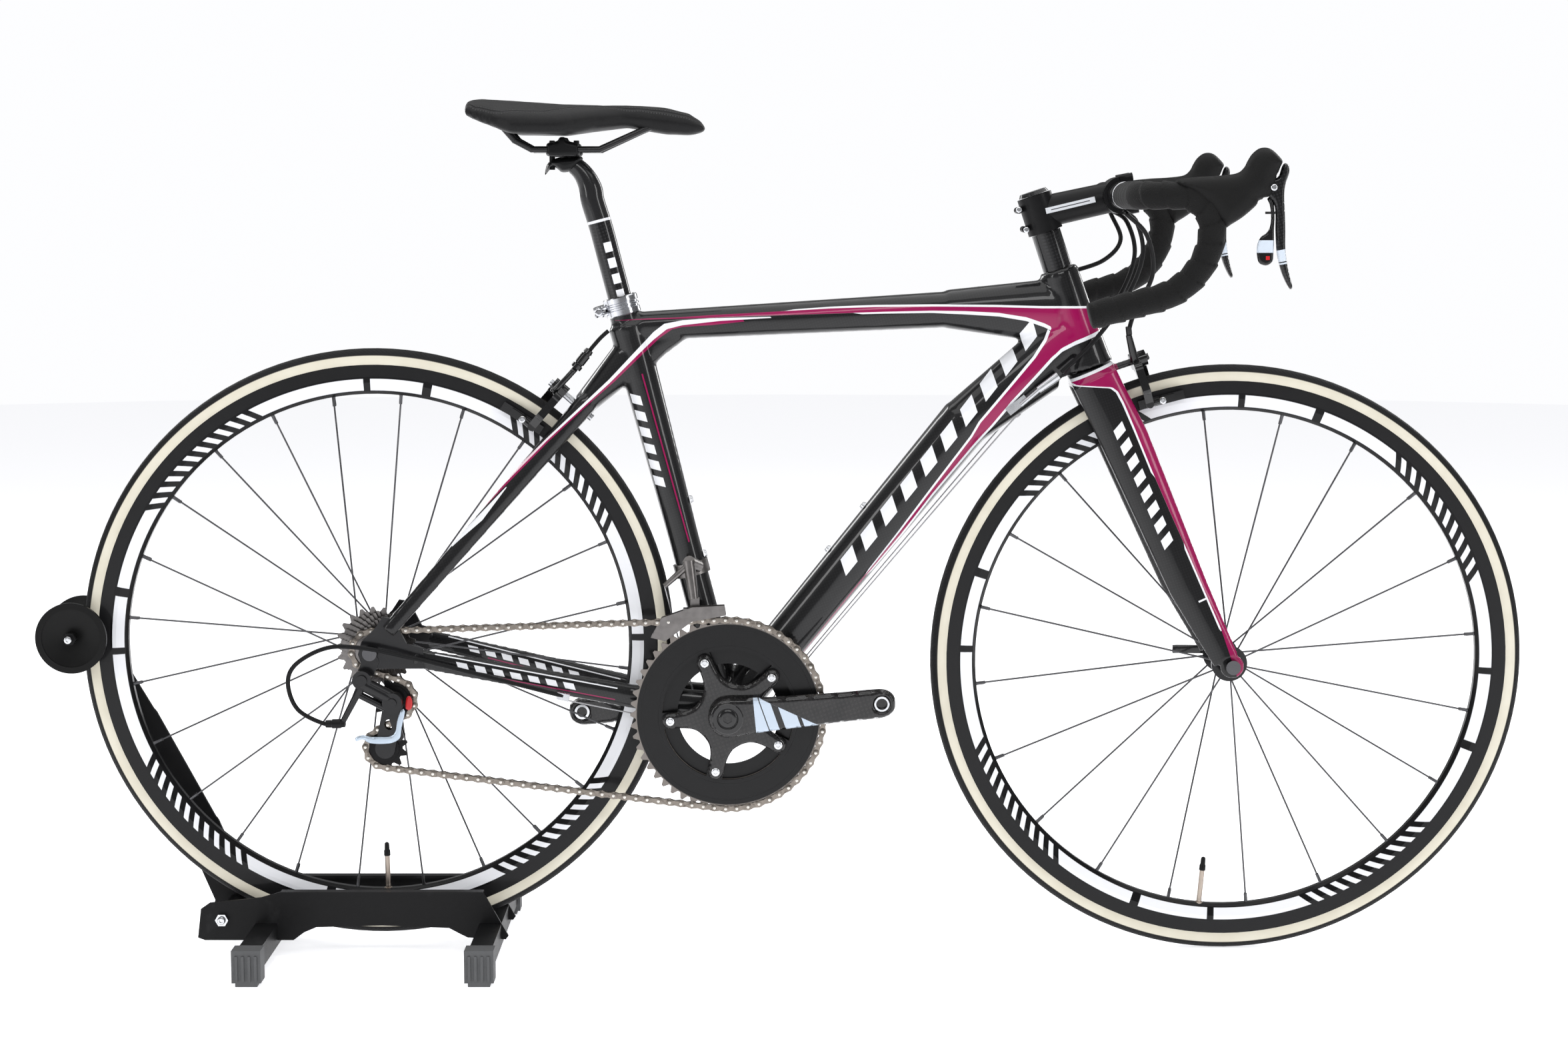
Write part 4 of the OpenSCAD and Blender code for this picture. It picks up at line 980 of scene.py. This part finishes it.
POST_BEND = [(246, 848.7), (243.8, 861.9), (240, 872), (233.5, 882), (224, 890), (214, 894)]
post_axis = [seat_at(t) for t in (POST_FOOT, 400, 470, 520, 560)] + [Vector((x, 0, z)) for x, z in POST_BEND]
post_path = smooth_path(post_axis, 3)
post_radii = [np.interp(p.z, [840, 862, 876, 889, 895], [13.2, 13.1, 11.6, 10, 8]) for p in post_path]
post = add("seatpost_carbon", tube_mesh(post_path, lambda i, a: post_radii[i], 40), "post", "seat", 50)
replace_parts(post, "seatpost")

# side view of the clamp below and above the rails
CRADLE = [(193, 878.6), (194.4, 888.2), (199, 893.9), (207, 897.4), (215, 898.7), (230.8, 899.2),
          (235, 896.6), (232, 891), (228, 886), (222, 882.4), (212.1, 881.4), (206.9, 885), (202, 887.5),
          (197.6, 883.5)]
TOP_CLAMP = [(197, 912.6), (203.2, 914.4), (208.5, 916), (211.2, 919.6), (216.5, 919.6), (219.1, 916),
             (224.3, 914.6), (231, 912.6), (233, 907), (232, 899.4), (216, 898.4), (198, 899), (196, 906)]
clamp_parts = [inflated([round_outline(CRADLE, 1.2)], 0, 14, 8, 1.6)]
for side in (-1, 1):
    clamp_parts.append(inflated([round_outline(TOP_CLAMP, 1.2)], side * 20, 7.5, 4, 1.6))
barrel = [Vector((214, y, 905.5)) for y in (-26, -25, 25, 26)]
clamp_parts.append(tube_mesh(barrel, lambda i, a: (3, 6, 6, 3)[i], 24))
for x in (201, 228):
    clamp_parts.append(lathe([(0, 2.6), (0.4, 3.2), (32, 3.2), (32.4, 2.6)], (x, 0, 884), (0, 0, 1), 20))
clamp = add("saddle_clamp_head", gather(clamp_parts), "satin", "seat", 40)
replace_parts(clamp, "saddle_clamp")

# two grooves run round the collar
COLLAR_RING = [(0, 14.8), (0, 18.2), (1, 19.4), (6.6, 19.4), (7.4, 18), (9, 18), (9.8, 19.4), (11.4, 19.4),
               (12.2, 18), (13.8, 18), (14.6, 19.4), (20, 19.4), (21, 18.4), (21, 14.8)]
o = seat_at(COLLAR)
collar = [revolve(COLLAR_RING, o, SEAT_UP, 64)]
back = Vector((-SEAT_UP.z, 0, SEAT_UP.x))
for h in (3.2, 10.4):
    lug = [(16, h), (30, h), (32, h + 1.6), (32, h + 4.4), (30, h + 6), (16, h + 6)]
    outline = [o + back * u + SEAT_UP * v for u, v in lug]
    collar.append(inflated([round_outline([(p.x, p.z) for p in outline], 1.0)], 0, 8.5, 2.2, 1.2))
pin = o + back * 26 + SEAT_UP * 10
collar.append(lathe([(-10.2, 2.4), (-10, 3.2), (10, 3.2), (10.2, 2.4)], pin, (0, 1, 0), 20))
collar.append(socket_bolt(pin + Vector((0, -9.6, 0)), (0, -1, 0), 4.4, 2.8))
seat_collar = add("seat_collar", gather(collar), "silver", "bike_frame")
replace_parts(seat_collar, "seat_clamp")

# ---------- saddle ----------


def saddle_cover():
    obj = grown(["saddle"], "saddle_cover", 0.0032, 26, "saddle")
    mesh = obj.data
    co = np.zeros(len(mesh.vertices) * 3)
    mesh.vertices.foreach_get("co", co)
    co = co.reshape(-1, 3)
    x, y, z = co[:, 0] / MM + X_MID, co[:, 1] / MM, co[:, 2] / MM
    # side view: top and bottom lines of the cover
    sx = [96, 105, 125, 161, 215, 285, 327, 353, 366, 374]
    top = [951, 960.5, 962, 960, 956.5, 955.5, 952.5, 946, 938, 930]
    bottom = [949, 945, 937, 925, 922, 930, 923, 922, 924, 928]
    half = [24, 34, 46, 62, 57, 22, 17.5, 15.5, 13, 9]
    z_mid = (np.interp(x, sx, top) + np.interp(x, sx, bottom)) / 2
    z_half = (np.interp(x, sx, top) - np.interp(x, sx, bottom)) / 2
    w = np.interp(x, sx, half)
    # where the point lies in the CAD section, as a share of its half width and height
    ny, nz = np.zeros_like(x), np.zeros_like(x)
    for i in range(90, 380, 2):
        near = np.abs(x - i) < 3
        if near.sum() < 8:
            continue
        inside = np.abs(x - i) <= 1
        y_max = np.abs(y[near]).max()
        lo, hi = z[near].min(), z[near].max()
        ny[inside] = y[inside] / y_max
        nz[inside] = (z[inside] - (lo + hi) / 2) / max((hi - lo) / 2, 1)
    side = np.abs(ny)
    crown = np.where(nz > 0, 1 - 0.42 * side ** 2.2, 1 - 0.2 * side ** 2)
    skirt = 6.0 * side ** 2.5 * np.interp(x, [100, 160, 240, 300], [1, 1.3, 0.6, 0])
    new_z = z_mid + nz * z_half * crown - skirt
    channel = np.exp(-(y / 7) ** 2) * np.interp(x, [125, 165, 250, 300], [0, 1, 1, 0])
    new_z = new_z - channel * 2.6 * (nz > 0)
    co[:, 1] = ny * w * MM
    co[:, 2] = new_z * MM
    mesh.vertices.foreach_set("co", co.ravel())
    mesh.update()
    smooth_mesh(mesh, 8)
    return obj


saddle = saddle_cover()
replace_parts(saddle, "saddle")
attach(saddle, "seat")

# ---------- handlebar tape and hoods ----------

BAR_X, BAR_Z, BAR_HALF = 832.0, 856.0, 200.0


def bar_path(side):
    """Centre line of the bar from the clamp to the end of one drop."""
    pts = [Vector((BAR_X, side * y, BAR_Z)) for y in np.arange(62, 160, 1.5)]
    for a in np.radians(np.arange(0, 90, 2)):
        pts.append(Vector((BAR_X + 40 - 40 * math.cos(a), side * (BAR_HALF - 40 + 40 * math.sin(a)), BAR_Z)))
    c = Vector((BAR_X + 40, side * BAR_HALF, BAR_Z - 34))
    for a in np.radians(np.arange(90, 0, -2.5)):
        pts.append(c + Vector((34 * math.cos(a), 0, 34 * math.sin(a))))
    c = Vector((BAR_X + 40 - 42, side * BAR_HALF, BAR_Z - 34))
    for a in np.radians(np.arange(0, 75.5, 1.2)):
        pts.append(c + Vector((76 * math.cos(a), 0, -76 * math.sin(a))))
    end = math.radians(75.5)
    low = c + Vector((76 * math.cos(end), 0, -76 * math.sin(end)))
    back = Vector((-math.sin(end), 0, -math.cos(end)))
    pts += [low + back * t for t in np.arange(0, 70.1, 1.5)]
    return pts


TAPE_PITCH = 21.0


def wrapped(side):
    """Tape wound along one half of the bar, with each turn lapping over the last, and its end plug."""
    path = bar_path(side)
    lengths = [0.0]
    for p, q in zip(path, path[1:]):
        lengths.append(lengths[-1] + (q - p).length)

    def radius(i, a):
        turn = (lengths[i] / TAPE_PITCH + side * a / (2 * math.pi)) % 1.0
        lap = 1.0 if turn < 0.12 else 1.0 - 0.85 * (turn - 0.12) / 0.88
        ends = min(1.0, lengths[i] / 3 + 0.3, (lengths[-1] - lengths[i]) / 3 + 0.2)
        return 13.3 + 1.85 * lap * ends + 0.15 * math.sin(7 * turn + 3 * a)

    parts = [tube_mesh(path, radius, 48)]
    tip = path[-1]
    back = (path[-1] - path[-2]).normalized()
    parts.append(lathe([(-0.5, 13.6), (1.0, 14.2), (2.6, 13.8), (4.0, 11), (4.3, 0.4)], tip, back, 32))
    return gather(parts)


tape = add("bar_tape_wrap", gather([wrapped(1), wrapped(-1)]), "tape", "steering", 50)
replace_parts(tape, "bar_tape")


def finish_band(side):
    """Shiny strip that closes the tape beside the clamp."""
    path = [Vector((BAR_X, side * y, BAR_Z)) for y in (59, 59.2, 60, 61.6, 62.4, 62.6)]
    radii = [12.1, 14.6, 15.1, 15.1, 14.6, 13.0]
    return tube_mesh(path, lambda i, a: radii[i], 40)


bands = new_object("tape_end_bands", *gather([finish_band(1), finish_band(-1)]), "white")
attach(bands, "steering")

# side views, with the bar's end behind and the lever in front
HOOD = [(868, 872.5), (889, 875.2), (912, 876.6), (930, 879), (937.5, 884.5), (941.5, 892), (946, 899),
        (953, 904.5), (960.5, 905.6), (967, 903.2), (973.5, 897.4), (978, 891.5), (976, 886), (971.8, 874.5),
        (969.3, 865.5), (966, 855.6), (959, 852.6), (953.5, 850.5), (951, 845.5), (938, 834), (926, 826.2),
        (919, 822.5), (911, 829), (902, 840), (890, 851), (876, 860.5), (868, 866)]
LEVER = [(980.3, 889.5), (984.6, 887), (985, 879.3), (981.5, 868), (980.4, 856.4), (981.4, 838),
         (982.2, 820), (982.6, 801.4), (984.4, 787.6), (987.4, 773.8), (990.6, 762.6), (990.2, 758.6),
         (988.2, 758.4), (984.4, 763.8), (979.6, 773.8), (975.9, 785.3), (973.2, 799.1), (971.7, 819.7),
         (971.3, 838), (969, 848), (962.6, 856), (960.8, 864), (963.5, 870.6), (969, 873.6), (974, 876),
         (977.4, 886.1)]
PADDLE = [(966.3, 854.1), (969.6, 847.2), (970.7, 833.5), (970.4, 819.7), (970.6, 805.9), (970.2, 796.7),
          (969.4, 787.5), (964.2, 783.3), (958.4, 784), (954.4, 787.5), (952.7, 796.7), (953.4, 805.9),
          (956.7, 812.8), (962, 816.6), (965.3, 821.5), (966.9, 829), (966.7, 838), (965, 847.2),
          (962.6, 852.6)]
for side, word in ((-1, "right"), (1, "left")):
    y = side * BAR_HALF
    hood = new_object(f"hood_{word}_skin", *inflated([round_outline(HOOD)], y, 16.9, 17), "hood")
    cut(hood, (957.5, y - 5.4, 840), (995, y + 5.4, 879.5))
    dress(hood, "hood")
    soften(hood, 45)
    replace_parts(hood, f"hood_{word}")
    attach(hood, "steering")
    pin = [socket_bolt((967.6, y + s * 12.2, 864.4), (0, s, 0), 3.4, 1.4) for s in (-1, 1)]
    add(f"lever_pins_{word}", gather(pin), "steel", "steering")
    blade = inflated([round_outline(LEVER)], y, 4.7, 3.4, 1.2)
    spring = tube_mesh([Vector((x, y, 838)) for x in (975, 968, 961)], 1.4, 10)
    lever = new_object(f"lever_{word}", *gather([blade, spring]), "lever")
    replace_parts(soften(lever, 50), f"brake_lever_{word}")
    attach(lever, f"brake_lever_{word}")
    paddle = new_object(f"paddle_{word}", *inflated([round_outline(PADDLE)], y, 2.6, 2.4, 1.1), "paddle")
    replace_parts(soften(paddle, 50), f"shift_paddle_{word}")
    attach(paddle, f"shift_paddle_{word}")

# ---------- cables ----------

CABLES = {"cable_rear_brake": [(BAR_X - 2, 74, 837), (BAR_X + 8, 54, 806), (BAR_X - 14, 31, 783),
                               (776, 30, 768), (742, 19, 752)]}
for word, way in (("right", -1), ("left", 1)):
    CABLES[f"cable_down_{word}"] = [
        (BAR_X - 2, way * 60, 839), (BAR_X + 14, way * 46, 826), (BAR_X + 22, way * 36, 790),
        (BAR_X + 6, way * 31, 745), (BAR_X - 30, way * 30, 695), (766.5, way * 30, 660.5)]
for name, points in CABLES.items():
    cable = new_object(name, *tube_mesh(smooth_path(points, 3), 2.5, 12), "cable")
    start, end = (at(*points[-1]), at(*points[1]))
    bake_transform(cable)

# housings and wires fixed to the frame
FIXED = [
    ("housing_derailleur",
     [(-33, -79, 273), (-52, -78.6, 274), (-80, -80, 290), (-90, -82, 318), (-82, -84, 340), (-52, -86, 358),
      (-20, -86, 361), (40, -82, 350), (212, -56, 301)], 2.5, "cable"),
    ("housing_rear_brake",
     [(263, -14, 706), (255, -15, 699), (246, -16, 689), (242, -16, 684)], 2.3, "cable"),
    ("link_rear_brake", [(226, -17, 664), (216, -17, 653), (206, -18, 643), (200, -20, 638)], 3.4, "gloss"),
    ("wire_front_derailleur",
     [(325, -39, 423), (340, -24, 360), (354, -11, 305), (367, -10, 262), (386, -10, 254)], 0.8, "wire"),
    ("wire_rear_derailleur", [(408, -14, 253), (390, -16, 253.5), (214, -53.5, 296)], 0.8, "wire"),
]
for word, way in (("right", -1), ("left", 1)):
    route = [(722, way * 25, 614), (690, way * 22, 580), (480, way * 15, 330), (430, way * 16, 262)]
    FIXED.append((f"wire_down_{word}", route, 0.8, "wire"))
fixed_cables = []
for name, points, r, look in FIXED:
    cable = new_object(name, *tube_mesh(smooth_path(points, 4), r, 12), look)
    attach(cable, "bike_frame")
    fixed_cables.append(cable)
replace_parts(fixed_cables[0], "frame_cables")
brake_hose = smooth_path([(BAR_X - 2, -74, 837), (BAR_X + 24, -56, 812), (BAR_X + 34, -32, 770),
                          (848, -18, 726), (842, -17, 706)], 3)
front_cable = new_object("cable_front_brake", *tube_mesh(brake_hose, 2.5, 12), "cable")
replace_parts(front_cable, "steering_cables")
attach(front_cable, "steering")

# ---------- chain ----------

PITCH = 12.7
RIVET = [(-3.6, 0.9), (-3.5, 1.7), (-3.0, 2.0), (3.0, 2.0), (3.5, 1.7), (3.6, 0.9)]


def pitch_r(teeth):
    """Radius of the circle through the pins on a sprocket."""
    return PITCH / (2 * math.sin(math.pi / teeth))


def chain_path():
    """The chain's closed path: chainring, tension pulley, guide pulley and sprocket, and the runs between."""
    r_ring, r_cog = pitch_r(53), pitch_r(11)  # the pulleys have 11 teeth too
    ring_c, cog_c = Vector((396, -46, 278)), Vector((0, -60, 352))
    guide, tension = Vector((25, -60, 298)), Vector((14, -60, 243))

    def direction(a, b):
        return math.atan2(b.z - a.z, b.x - a.x)

    def span(a, b):
        return math.hypot(b.x - a.x, b.z - a.z)

    def on(c, r, a):
        return Vector((c.x + r * math.cos(a), c.y, c.z + r * math.sin(a)))

    a_top = direction(cog_c, ring_c) + math.pi / 2 + math.asin((r_ring - r_cog) / span(cog_c, ring_c))
    a_bot = direction(tension, ring_c) - math.pi / 2 - math.asin((r_ring - r_cog) / span(tension, ring_c))
    a_cg = direction(cog_c, guide) - math.acos(2 * r_cog / span(cog_c, guide))
    a_gt = direction(guide, tension) + math.acos(2 * r_cog / span(guide, tension))
    pts = []

    def arc(c, r, a, b):
        n = max(4, int(abs(b - a) * r / 1.5))
        pts.extend(on(c, r, a + (b - a) * k / n) for k in range(n + 1))

    arc(ring_c, r_ring, a_top, a_bot)
    arc(tension, r_cog, a_bot + 2 * math.pi, a_gt + math.pi)
    arc(guide, r_cog, a_gt, a_cg + math.pi)
    arc(cog_c, r_cog, a_cg + 2 * math.pi, a_top)
    pts.append(pts[0])
    return pts


def chain_links():
    """Plates, rollers and rivets, one link after another along the path."""
    path = np.array([tuple(p) for p in chain_path()])
    gaps = np.linalg.norm(np.diff(path, axis=0), axis=1)
    keep = np.concatenate([[True], gaps > 1e-6])
    path, gaps = path[keep], gaps[gaps > 1e-6]
    run = np.concatenate([[0], np.cumsum(gaps)])
    count = int(round(run[-1] / PITCH / 2)) * 2
    stops = np.arange(count) * run[-1] / count
    pins = [Vector([np.interp(s, run, path[:, k]) for k in range(3)]) for s in stops]
    parts, rivets = [], []
    for i, p in enumerate(pins):
        q = pins[(i + 1) % count]
        d = q - p
        across = Vector((0, 1, 0)) - d * (d.y / d.length_squared)
        across.normalize()
        d_unit = d.normalized()
        up = d_unit.cross(across)
        inner = i % 2 == 0
        gap, thick, tall = (1.35, 0.8, 4.2) if inner else (2.25, 0.8, 3.9)
        for side in (-1, 1):
            outline = []
            for k in range(7):
                a = math.pi / 2 + math.pi * k / 6
                outline.append(p + d_unit * (math.cos(a) * tall) + up * (math.sin(a) * tall))
            outline.append((p + q) / 2 - up * tall * 0.66)
            for k in range(7):
                a = -math.pi / 2 + math.pi * k / 6
                outline.append(q + d_unit * (math.cos(a) * tall) + up * (math.sin(a) * tall))
            outline.append((p + q) / 2 + up * tall * 0.66)
            n = len(outline)
            low, high = side * gap, side * (gap + thick)
            verts = [at(*(v + across * low)) for v in outline] + [at(*(v + across * high)) for v in outline]
            middle = (p + q) / 2
            verts += [at(*(v + across * high + ((middle + (v - middle) * 0.93) - v))) for v in outline]
            for k in range(n):
                edge, lowered = outline[k] + across * high, outline[k] + across * (high - side * 0.2)
                verts[n + k] = verts[n + k] - (at(*edge) - at(*lowered))
            faces = [tuple(range(n)) if side < 0 else tuple(reversed(range(n)))]
            faces.append(tuple(reversed(range(2 * n, 3 * n))) if side < 0 else tuple(range(2 * n, 3 * n)))
            for level in (0, n):
                for k in range(n):
                    m = (k + 1) % n
                    quad = (level + k, level + m, level + n + m, level + n + k)
                    faces.append(tuple(reversed(quad)) if side < 0 else quad)
            parts.append((verts, faces))
        rivets.append(lathe(RIVET, p, across, 10))
        parts.append(lathe([(-1.2, 3.0), (-1.1, 3.7), (1.1, 3.7), (1.2, 3.0)], p, across, 12))
    return gather(parts), gather(rivets)


links, rivets = chain_links()
add("chain_rivets", rivets, "pin", "bike_frame", 30)
chain = soften(new_object("chain_links", *links, "chain"), 30)
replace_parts(chain, "chain")
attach(chain, "bike_frame")

# ---------- wheel details ----------


def nipples(center, count, first):
    parts = []
    for i in range(count):
        a = math.radians(first + i * 360 / count)
        out = Vector((math.cos(a), 0, math.sin(a)))
        o = Vector((center[0], 0, center[1])) + out * 284
        parts.append(lathe([(0, 2.3), (1.5, 2.3), (2.2, 1.9), (9.5, 1.7), (11.5, 1.2)], o, -out, 10))
    return parts


front_nipples = nipples(FRONT_AXLE, 10, 95.9) + nipples(FRONT_AXLE, 10, 77.8)
rear_nipples = nipples(REAR_AXLE, 12, 99.5) + nipples(REAR_AXLE, 12, 84.1)
add("nipples_front", gather(front_nipples), "spoke", "front_wheel")
add("nipples_rear", gather(rear_nipples), "spoke", "rear_wheel")

for word, centre, turn in (("front", FRONT_AXLE, -95), ("rear", REAR_AXLE, -88.8)):
    a = math.radians(turn)
    out = Vector((math.cos(a), 0, math.sin(a)))
    o = Vector((centre[0], 0, centre[1])) + out * 285
    threads = [(t, 2.75 if i % 2 else 3.0) for i, t in enumerate(np.arange(6, 40, 0.8))]
    profile = [(0, 4.8), (2.4, 4.8), (2.6, 2.9), *threads, (40.4, 2.4)]
    add(f"valve_{word}", lathe(profile, o, -out, 16), "valve", f"{word}_wheel")
    cap = [(39, 3.0), (39.4, 3.7), (45, 3.6), (46, 2.9), (53, 2.6), (54.4, 1.8), (54.8, 0.6)]
    add(f"valve_cap_{word}", lathe(cap, o, -out, 16), "plastic", f"{word}_wheel")

# ---------- bolts and small hardware ----------

CAGE_ARM = [(-18, 252), (-10, 254), (-3, 250), (10, 249), (23, 250.5), (31, 256), (33, 268), (37, 286),
            (33, 287.5), (28.5, 276), (26, 263), (20, 257.5), (9, 257), (-2, 257), (-10, 259), (-18, 256.5)]
PATCH = [(38, 289), (43.5, 288), (45.5, 296), (43, 303), (39, 301)]
add("cage_arm", inflated([round_outline(CAGE_ARM)], -68.4, 1.1, 1.4, 1.2), "blue", "bike_frame", 50)
add("cage_patch", inflated([round_outline(PATCH)], -68.4, 0.9, 1.2, 1.0), "red", "bike_frame", 50)
barrel = lathe([(0, 2.6), (0.5, 4.6), (5, 5.4), (5.4, 4.4), (7, 4.4), (7.4, 5.6), (19, 5.6), (19.6, 4.8),
                (21, 4.4), (21.4, 6.2), (26, 6.2), (26.6, 5), (27, 3)], (242.4, -16, 685),
                (-0.62, -0.04, -0.78), 28)
add("barrel_rear_brake", barrel, "gloss", "bike_frame")
ferrule = lathe([(0, 2.6), (0.6, 4.2), (7, 4.4), (8, 5.2), (17, 5.2), (18, 4.4), (22, 4.0), (22.6, 2.4)],
                (-50, -78.6, 273.6), (1, -0.02, 0.02), 24)
add("ferrule_derailleur", ferrule, "plastic", "bike_frame")
ferrule = lathe([(0, 2.6), (0.6, 3.4), (9, 3.4), (10, 3.0), (10.2, 2.4)],
                (841.6, -17, 711), (0.12, 0, -1), 20)
add("ferrule_front_brake", ferrule, "anodised", "steering")

HARDWARE = [
    ("bolts_stem", "steering", "steel",
     [((718.5, -20.6, 840), (0, -1, 0), 3.4), ((727, -20.6, 818), (0, -1, 0), 3.4)]),
    ("bolts_front_brake", "front_caliper_right", "steel", [((880, -26, 629), (0, -1, 0), 4.0)]),
    ("bolts_rear_brake", "rear_caliper_right", "steel", [((167, -26, 608), (0, -1, 0), 4.0)]),
    ("bolt_roller", "stand_arm", "steel", [((-341.5, -44, 362), (0, -1, 0), 4.5)]),
    ("bolt_stand", "stand", "steel", [((-176, -51, 43), (0, -1, 0), 4.5)]),
]
for name, body, look, places in HARDWARE:
    parts = [socket_bolt(o, axis, r) for o, axis, r in places]
    add(name, gather(parts), look, body)


def on_arm(u, v, turn=0.0):
    """A point of the side view from its place along and across the crank arm."""
    c, q = math.cos(ARM_LEAN + turn), math.sin(ARM_LEAN + turn)
    return Vector((BB[0] + u * c - v * q, BB[1] + u * q + v * c))


# half outlines along and across the crank arm, and one arm of the spider
ARM = [(-22, 0), (-19, 11.5), (-9, 20.5), (4, 22), (20, 20.6), (45, 19.4), (90, 17.9), (130, 16.9),
       (160, 16.8), (176, 15.6), (185, 9.4), (187.5, 0)]
arm_outline = ARM + [(u, -v) for u, v in reversed(ARM[1:-1])]
EAR = [(31, -19), (37, -13.5), (46, -10.2), (57, -9), (66, -8.8), (72.4, -5.6), (74.2, 0)]
ear_outline = EAR + [(u, -v) for u, v in reversed(EAR[:-1])]


def arm_piece(side, turn):
    outline = round_outline([on_arm(u, v, turn) for u, v in arm_outline], 2.0)
    body = inflated([outline, circle(on_arm(172, 0, turn), 7.3)], side * 66.5, 6.5, 5.2, 2.0)
    hub = on_arm(0, 0)
    eye = on_arm(172, 0, turn)
    return body, hub, eye


def insert(eye, side):
    loop = [(59.8, 6.0), (60.0, 8.6), (72.6, 8.6), (73.0, 8.2), (73.0, 6.4), (72.4, 6.0)]
    return revolve(loop, (eye.x, 0, eye.y), (0, side, 0), 32)


right_arm, hub, eye = arm_piece(-1, 0)
ear_turns = [math.radians(36 + 72 * i) for i in range(5)]
spider = [on_arm(u, v, turn) for turn in ear_turns for u, v in ear_outline]
spider_body = inflated([round_outline(spider, 1.8)], -52.4, 4.2, 4.6, 1.9)
boss = lathe([(42.2, 19), (42.6, 20), (58, 22), (60.2, 22)], (hub.x, 0, hub.y), (0, -1, 0), 48)
spindle = lathe([(-72, 11.6), (-71, 12), (60, 12), (61, 11.6)], (hub.x, 0, hub.y), (0, -1, 0), 36)
right_crank = soften(new_object("crank_right_carbon", *gather([right_arm, spider_body, boss]), "crank"), 40)
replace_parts(right_crank, "crank_right")
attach(right_crank, "crankset")
left_arm, hub, left_eye = arm_piece(1, math.pi)
left_boss = lathe([(38.2, 16), (38.6, 17), (60.5, 19)], (hub.x, 0, hub.y), (0, 1, 0), 48)
left_crank = soften(new_object("crank_left_carbon", *gather([left_arm, left_boss]), "crank"), 40)
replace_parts(left_crank, "crank_left")
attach(left_crank, "crankset")
fittings = [insert(eye, -1), insert(left_eye, 1), spindle]
add("crank_fittings", gather(fittings), "steel", "crankset")
caps = []
for side in (-1, 1):
    caps.append(revolve([(72.6, 11), (72.6, 17.4), (74, 17.4), (74.8, 16.6), (74.8, 12), (73.6, 11)],
                        (hub.x, 0, hub.y), (0, side, 0), 48))
    caps.append(socket_bolt((hub.x, side * 71.5, hub.y), (0, side, 0), 10.6, 2.8))
add("crank_caps", gather(caps), "gloss", "crankset")

ring_bolts = []
for turn in ear_turns:
    p = on_arm(65, 0, turn)
    ring_bolts.append(socket_bolt((p.x, -56.2, p.y), (0, -1, 0), 4.6, 1.5))
add("bolts_chainring", gather(ring_bolts), "steel", "crankset")

# ---------- last scene update ---------

bpy.context.view_layer.update()
